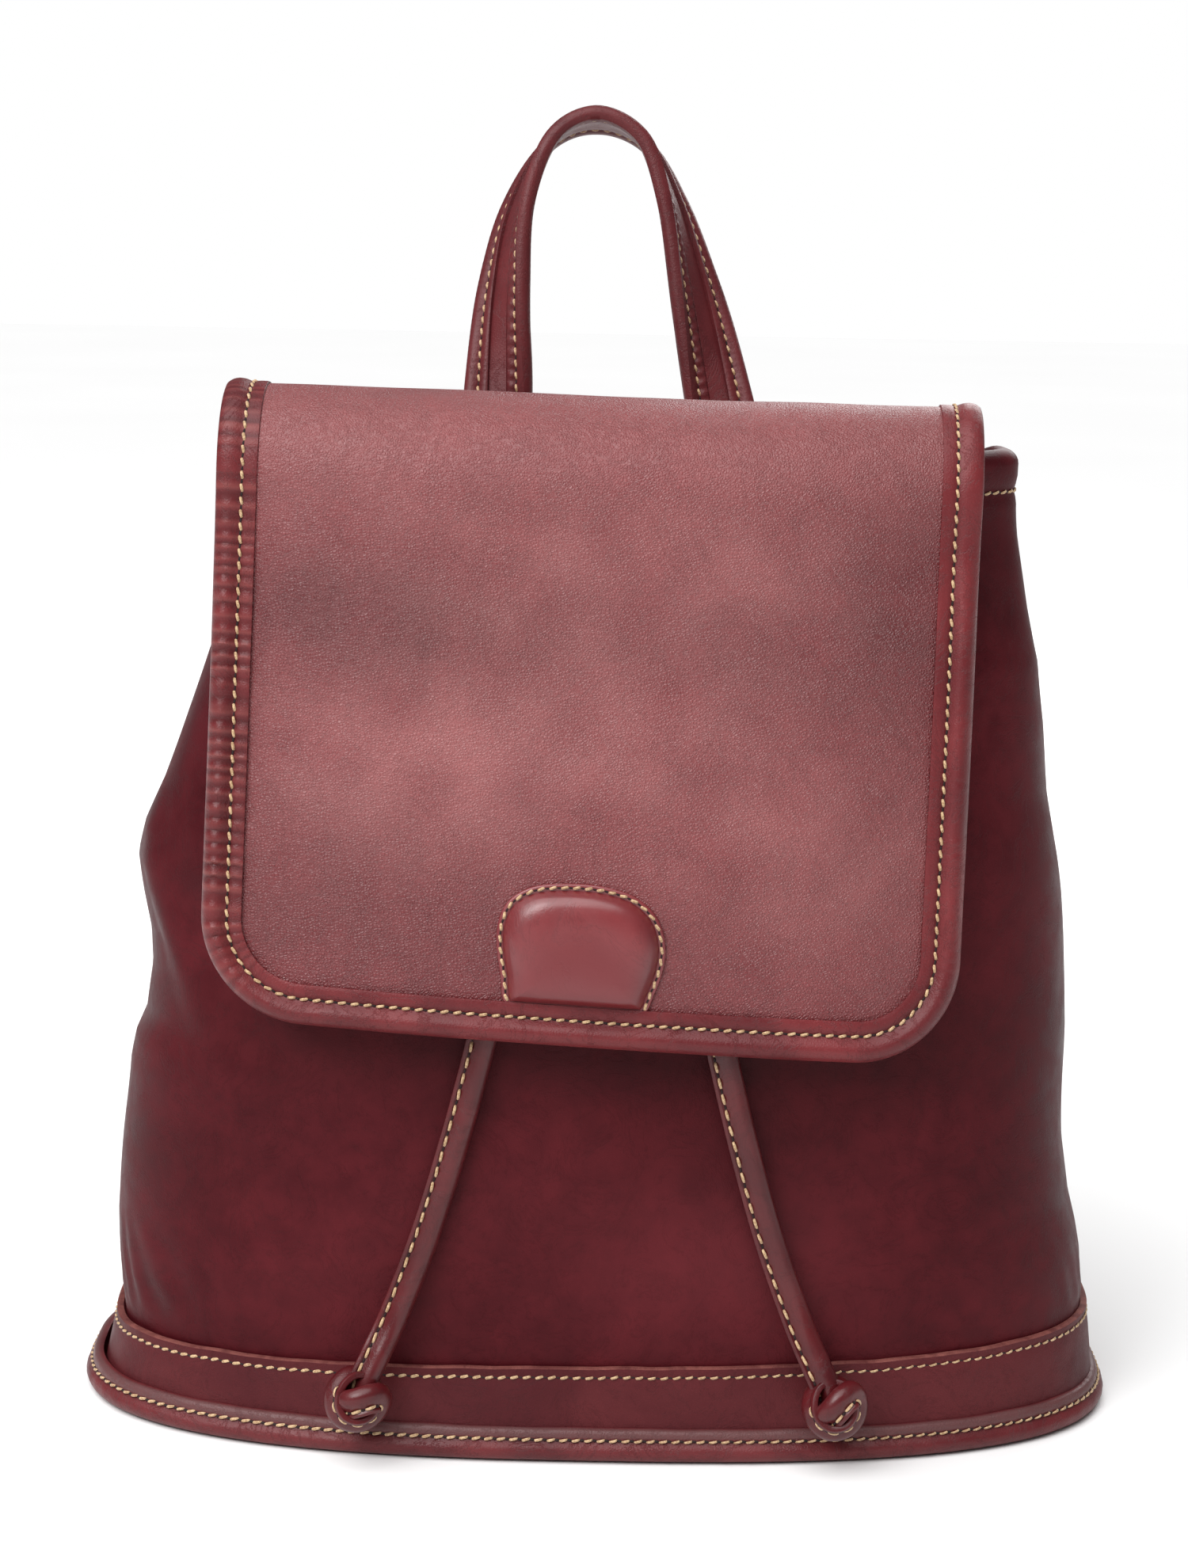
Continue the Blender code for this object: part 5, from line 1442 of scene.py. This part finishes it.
    # Keeper: a leather loop round both straps.
    mark = heel - 0.0200
    low_out, high_out = -FOLD_RADIUS - 0.0016, FOLD_RADIUS + 0.0054
    half = UPPER_HALF - 0.0016
    middle = (low_out + high_out) / 2
    reach = (high_out - low_out) / 2 + 0.0005
    turns = 2 * math.pi * np.arange(72) / 72
    across = np.sign(np.sin(turns)) * np.abs(np.sin(turns)) ** 0.35 * half
    level = middle + np.sign(np.cos(turns)) * np.abs(np.cos(turns)) ** 0.35 * reach
    rings = []
    for shift, grow in (
        (-0.0040, 0.0002), (-0.0040, 0.0011), (-0.0034, 0.0014), (-0.0027, 0.0011), (-0.0018, 0.0014),
        (0.0, 0.0016),
        (0.0018, 0.0014), (0.0027, 0.0011), (0.0034, 0.0014), (0.0040, 0.0011), (0.0040, 0.0002),
        (0.0, 0.0),
    ):
        spread = np.stack((np.sin(turns), np.cos(turns)), axis=1) * grow
        flat = plane.flat(np.full(72, mark + shift), level + spread[:, 1])
        rings.append(plane.lift(flat) + plane.wide * (across + spread[:, 0])[:, None])
    rings = np.array(rings).transpose(1, 0, 2)
    keeper = loft(f"keeper_{word}", rings, [STRAP_LEATHER], body, cyclic=True)
    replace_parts(keeper, f"strap_keeper_{word}")


def cutter_box(centre, halves, along, wide):
    """A box in a strap's own directions: along it, out of its face and across it."""
    out = unit(np.cross(wide, along))
    corners = []
    for a in (-1, 1):
        for b in (-1, 1):
            for c in (-1, 1):
                corners.append(centre + along * a * halves[0] + out * b * halves[1] + wide * c * halves[2])
    faces = [(0, 1, 3, 2), (4, 6, 7, 5), (0, 4, 5, 1), (2, 3, 7, 6), (0, 2, 6, 4), (1, 5, 7, 3)]
    mesh = bpy.data.meshes.new("cutter")
    mesh.from_pydata([tuple(c) for c in corners], [], outward(corners, faces))
    obj = bpy.data.objects.new("cutter", mesh)
    bpy.context.scene.collection.objects.link(obj)
    return obj


def carve(target, cutter):
    """Cut a slot into a piece and remove the cutter."""
    boolean = target.modifiers.new("slot", "BOOLEAN")
    boolean.operation = "DIFFERENCE"
    boolean.solver = "EXACT"
    boolean.object = cutter
    bpy.context.view_layer.update()
    evaluated = target.evaluated_get(bpy.context.evaluated_depsgraph_get())
    mesh = bpy.data.meshes.new_from_object(evaluated)
    target.modifiers.clear()
    target.data = mesh
    mesh.shade_smooth()
    mesh.set_sharp_from_angle(angle=math.radians(38))
    bpy.data.objects.remove(cutter)


def punch(name, centre, normal, radius, body):
    """A punched hole with a bottom of dark painted shade and a soft rim."""
    side = unit(np.cross(normal, (0.3, 0.2, 1.0)))
    up = np.cross(normal, side)
    turns = 2 * math.pi * np.arange(24) / 24
    around = side * np.cos(turns)[:, None] + up * np.sin(turns)[:, None]
    levels = (
        (1.25, 0.0008), (1.22, 0.00105), (1.08, 0.00120), (0.95, 0.00112), (0.86, 0.0008), (0.80, 0.0004),
    )
    rings = np.array([centre + normal * (h + 0.00005) + around * radius * share for share, h in levels])
    verts, faces = loft_mesh(rings)
    faces = outward(verts, faces)
    kinds = [1 if min(face) >= 4 * 24 else 0 for face in faces]
    return piece(name, verts, faces, [STRAP_LEATHER, HOLE_SHADE], body, kinds)


def round_bar(name, line, radius, body, cyclic, sides=14):
    """A polished round bar along LINE."""
    ahead = tangents(line, cyclic)
    up = np.zeros_like(line)
    reference = np.array((0.21, 0.95, 0.17))
    for index, direction in enumerate(ahead):
        reference = unit(reference - direction * np.dot(reference, direction))
        up[index] = reference
    turns = 2 * math.pi * np.arange(sides) / sides
    section = np.stack((np.cos(turns), np.sin(turns)), axis=1) * radius
    if cyclic:
        normal = unit(np.cross(line[1] - line[0], line[len(line) // 3] - line[0]))
        up = np.repeat(normal[None], len(line), axis=0)
    rings = sweep(line, unit(np.cross(ahead, up)), up, section)
    return loft(name, rings, [BRASS], body, cyclic=cyclic)


# ---------------------------------------------------------------- drawstring ends
CORD_ROUTE = (
    (0.0140, -0.0508, 0.2880), (0.0146, -0.0545, 0.2600), (0.0168, -0.0588, 0.2300),
    (0.0210, -0.0640, 0.1980),
    (0.0268, -0.0686, 0.1650), (0.0336, -0.0711, 0.1320), (0.0414, -0.0720, 0.1000),
    (0.0500, -0.0714, 0.0700),
    (0.0590, -0.0722, 0.0450), (0.0648, -0.0758, 0.0322), (0.0676, -0.0776, 0.0262),
    (0.0694, -0.0784, 0.0206),
)
KNOT_SCALE = 0.93
KNOT_SPIN_DEG = {"left": -4.0, "right": -38.0}
# The overhand knot: across, towards the viewer and up, from behind the standing part to the hidden tail.
KNOT_ROUTE = (
    (0.9, -1.0, 3.4), (1.6, -2.2, -1.0), (4.4, -3.8, -1.8), (5.4, -5.0, 2.0), (2.8, -5.2, 5.4),
    (-1.6, -3.4, 6.8),
    (-5.4, -0.6, 4.6), (-7.0, 1.4, 0.0), (-5.2, 2.2, -4.8), (-0.6, 1.8, -7.2), (4.2, 0.6, -6.2),
    (7.4, 0.0, -2.6),
    (7.8, 2.0, 0.8), (5.0, 4.8, 2.0), (0.6, 5.6, 1.2), (-2.8, 3.8, 0.0), (-3.8, 0.2, -1.2),
    (-1.8, -3.4, -3.4),
    (2.2, -4.8, -6.2),
)


def cord_section(scale=1.0):
    """A folded cord: a stitched flat lip on one side and a full roll on the other."""
    return rounded(np.array((
        (-0.0046, 0.0000), (-0.0045, 0.0009), (-0.0036, 0.0013), (-0.0027, 0.0008), (-0.0018, 0.0014),
        (-0.0004, 0.0025), (0.0014, 0.0029), (0.0030, 0.0022), (0.0041, 0.0007), (0.0041, -0.0009),
        (0.0030, -0.0022), (0.0012, -0.0027), (-0.0006, -0.0021), (-0.0020, -0.0012), (-0.0034, -0.0011),
        (-0.0045, -0.0008),
    )) * scale, 2)


def build_cord(side, word):
    body = f"cord_{word}"
    route = np.array(CORD_ROUTE) * (side, 1, 1)
    line = curve(route, 30)
    line = resample(line, np.linspace(0, lengths(line)[-1], 360))
    ahead = tangents(line)
    forward = np.array((0.0, -1.0, 0.0))
    out = unit(forward - ahead * (ahead @ forward)[:, None])
    across = unit(np.cross(ahead, out))
    across = np.where(across[:, 0:1] > 0, across, -across)
    along = lengths(line)
    section = np.repeat(cord_section()[None], len(line), axis=0)
    squeeze = 1.0 + 0.03 * np.sin(along / 0.0031 + side) * np.sin(along / 0.017)
    section[:, :, 1] *= squeeze[:, None]
    rings = sweep(line, across, out, section)
    cord = loft(f"drawstring_end_{word}", rings, [CORD_LEATHER], body)
    # Painted shade in the crease along the stitched lip.
    edge = np.abs(cord_section()[:, 0] + 0.0027) < 0.0007
    shade(cord, "shadow", np.tile(0.30 * edge, len(line)))
    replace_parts(cord, f"drawstring_{word}")
    marks = np.linspace(0.002, along[-1] - 0.002, 300)
    row = resample(line - across * 0.0027 + out * 0.0010, marks)
    row_out = resample(out, marks / along[-1] * lengths(out)[-1])
    thread = stitches(f"stitches_cord_{word}", row, row_out, body, 0.0049, 4.0)

    # Knot in the same folded cord, drawn tight.
    low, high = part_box(f"knot_{word}")
    centre = np.array((low + high) / 2)
    per_span = 14
    knot_line = curve(np.array(KNOT_ROUTE) * (1, -1, 1) * MM * KNOT_SCALE, per_span)
    spin = math.radians(KNOT_SPIN_DEG[word])
    turn = np.array(((math.cos(spin), 0, math.sin(spin)), (0, 1, 0), (-math.sin(spin), 0, math.cos(spin))))
    knot_line = knot_line @ turn.T
    ahead = tangents(knot_line)
    radial = unit(unit(knot_line) + np.array((0.0, -0.30, 0.0)))
    normal = unit(radial - ahead * np.sum(radial * ahead, axis=1, keepdims=True))
    for _ in range(10):
        normal[1:-1] = normal[:-2] + normal[1:-1] * 2 + normal[2:]
        normal = unit(normal - ahead * np.sum(normal * ahead, axis=1, keepdims=True))
    lip = -unit(np.cross(ahead, normal))
    sections = np.repeat(cord_section(0.94)[None], len(knot_line), axis=0) * (-1.05, 0.98)
    rings = sweep(knot_line + centre, lip, normal, sections)
    knot = loft(f"cord_knot_{word}", rings, [CORD_LEATHER], body)
    # The same painted shade in the knot's crease.
    shade(knot, "shadow", np.tile(0.30 * edge, len(knot_line)))
    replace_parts(knot, f"knot_{word}")
    shown = slice(6 * per_span, 16 * per_span)
    row = (knot_line + centre + lip * 0.0026 + normal * 0.0010)[shown]
    knot_thread = stitches(f"stitches_knot_{word}", row, normal[shown], body, 0.0047, 4.0)


# ---------------------------------------------------------------- floor, light, camera
def build_stage():
    """A plain pale floor."""
    marks = np.linspace(-6.0, 6.0, 25)
    grid = np.array([[(x, y, -0.0003) for x in marks] for y in marks])
    floor = piece("floor", grid.reshape(-1, 3), grid_faces(25, 25), [floor_material()], None, sharp=80)


def floor_material():
    tree = Tree("pale_floor")
    where = tree.add("ShaderNodeTexCoord").outputs["Object"]
    cloud = tree.noise(where, 2.0, 2.0)
    colour = tree.mix(cloud, rgb(0.86, 0.86, 0.86), rgb(0.90, 0.90, 0.90))
    return tree.finish(colour, 0.9, tree.relief(cloud, 0.0001))


def add_light(name, place, target, size, power, colour=(1, 1, 1)):
    data = bpy.data.lights.new(name, "AREA")
    data.shape = "RECTANGLE"
    data.size, data.size_y = size
    data.energy = power
    data.color = colour
    obj = bpy.data.objects.new(name, data)
    obj.location = place
    obj.rotation_euler = (Vector(target) - Vector(place)).to_track_quat("-Z", "Y").to_euler()
    bpy.context.scene.collection.objects.link(obj)


def build_lights():
    """Broad soft light from the upper left, a key for highlights, a rear light and a dim surround."""
    world = bpy.data.worlds.new("studio")
    bpy.context.scene.world = world
    world.use_nodes = True
    nodes, links = world.node_tree.nodes, world.node_tree.links
    dim = nodes["Background"]
    dim.inputs["Color"].default_value = (1.0, 1.0, 1.0, 1.0)
    dim.inputs["Strength"].default_value = 0.20
    bright = nodes.new("ShaderNodeBackground")
    bright.inputs["Strength"].default_value = 1.0
    bright.inputs["Color"].default_value = (1.0, 1.0, 1.0, 1.0)
    mix, path = nodes.new("ShaderNodeMixShader"), nodes.new("ShaderNodeLightPath")
    links.new(path.outputs["Is Camera Ray"], mix.inputs[0])
    links.new(dim.outputs[0], mix.inputs[1])
    links.new(bright.outputs[0], mix.inputs[2])
    links.new(mix.outputs[0], nodes["World Output"].inputs["Surface"])
    sun = bpy.data.lights.new("sky_panel", "SUN")
    sun.energy = 3.4
    sun.angle = math.radians(70)
    obj = bpy.data.objects.new("sky_panel", sun)
    obj.rotation_euler = Vector((0.30, 0.42, -1.0)).to_track_quat("-Z", "Y").to_euler()
    bpy.context.scene.collection.objects.link(obj)
    add_light("key", (-0.85, -1.15, 1.25), (0, 0, 0.22), (0.9, 0.9), 13)
    add_light("rear", (0.6, 1.4, 1.0), (0, 0, 0.2), (1.0, 1.0), 12)
    bpy.context.scene.view_settings.view_transform = "Standard"


def build_camera():
    """The camera looks down at the bag by a few degrees; its picture leans by a degree."""
    target = Vector((-0.0035, 0.0, 0.190))
    distance, elevation, lean = 1.0, math.radians(11.0), math.radians(1.0)
    data = bpy.data.cameras.new("camera")
    data.lens = 74.7
    data.sensor_width = 36.0
    obj = bpy.data.objects.new("camera", data)
    offset = Vector((0.0, -math.cos(elevation), math.sin(elevation))) * distance
    look = (-offset).to_track_quat("-Z", "Y").to_matrix().to_4x4()
    obj.matrix_world = Matrix.Translation(target + offset) @ look @ Matrix.Rotation(lean, 4, "Z")
    bpy.context.scene.collection.objects.link(obj)
    bpy.context.scene.camera = obj


build_camera()
build_lights()
build_stage()
for cord_side, cord_word in ((-1, "left"), (1, "right")):
    build_cord(cord_side, cord_word)
build_body()
build_hem_cord()
build_base()
build_flap()
build_badge()
build_handle()
build_yoke()
for strap_side, strap_word in ((-1, "left"), (1, "right")):
    build_strap(strap_side, strap_word)
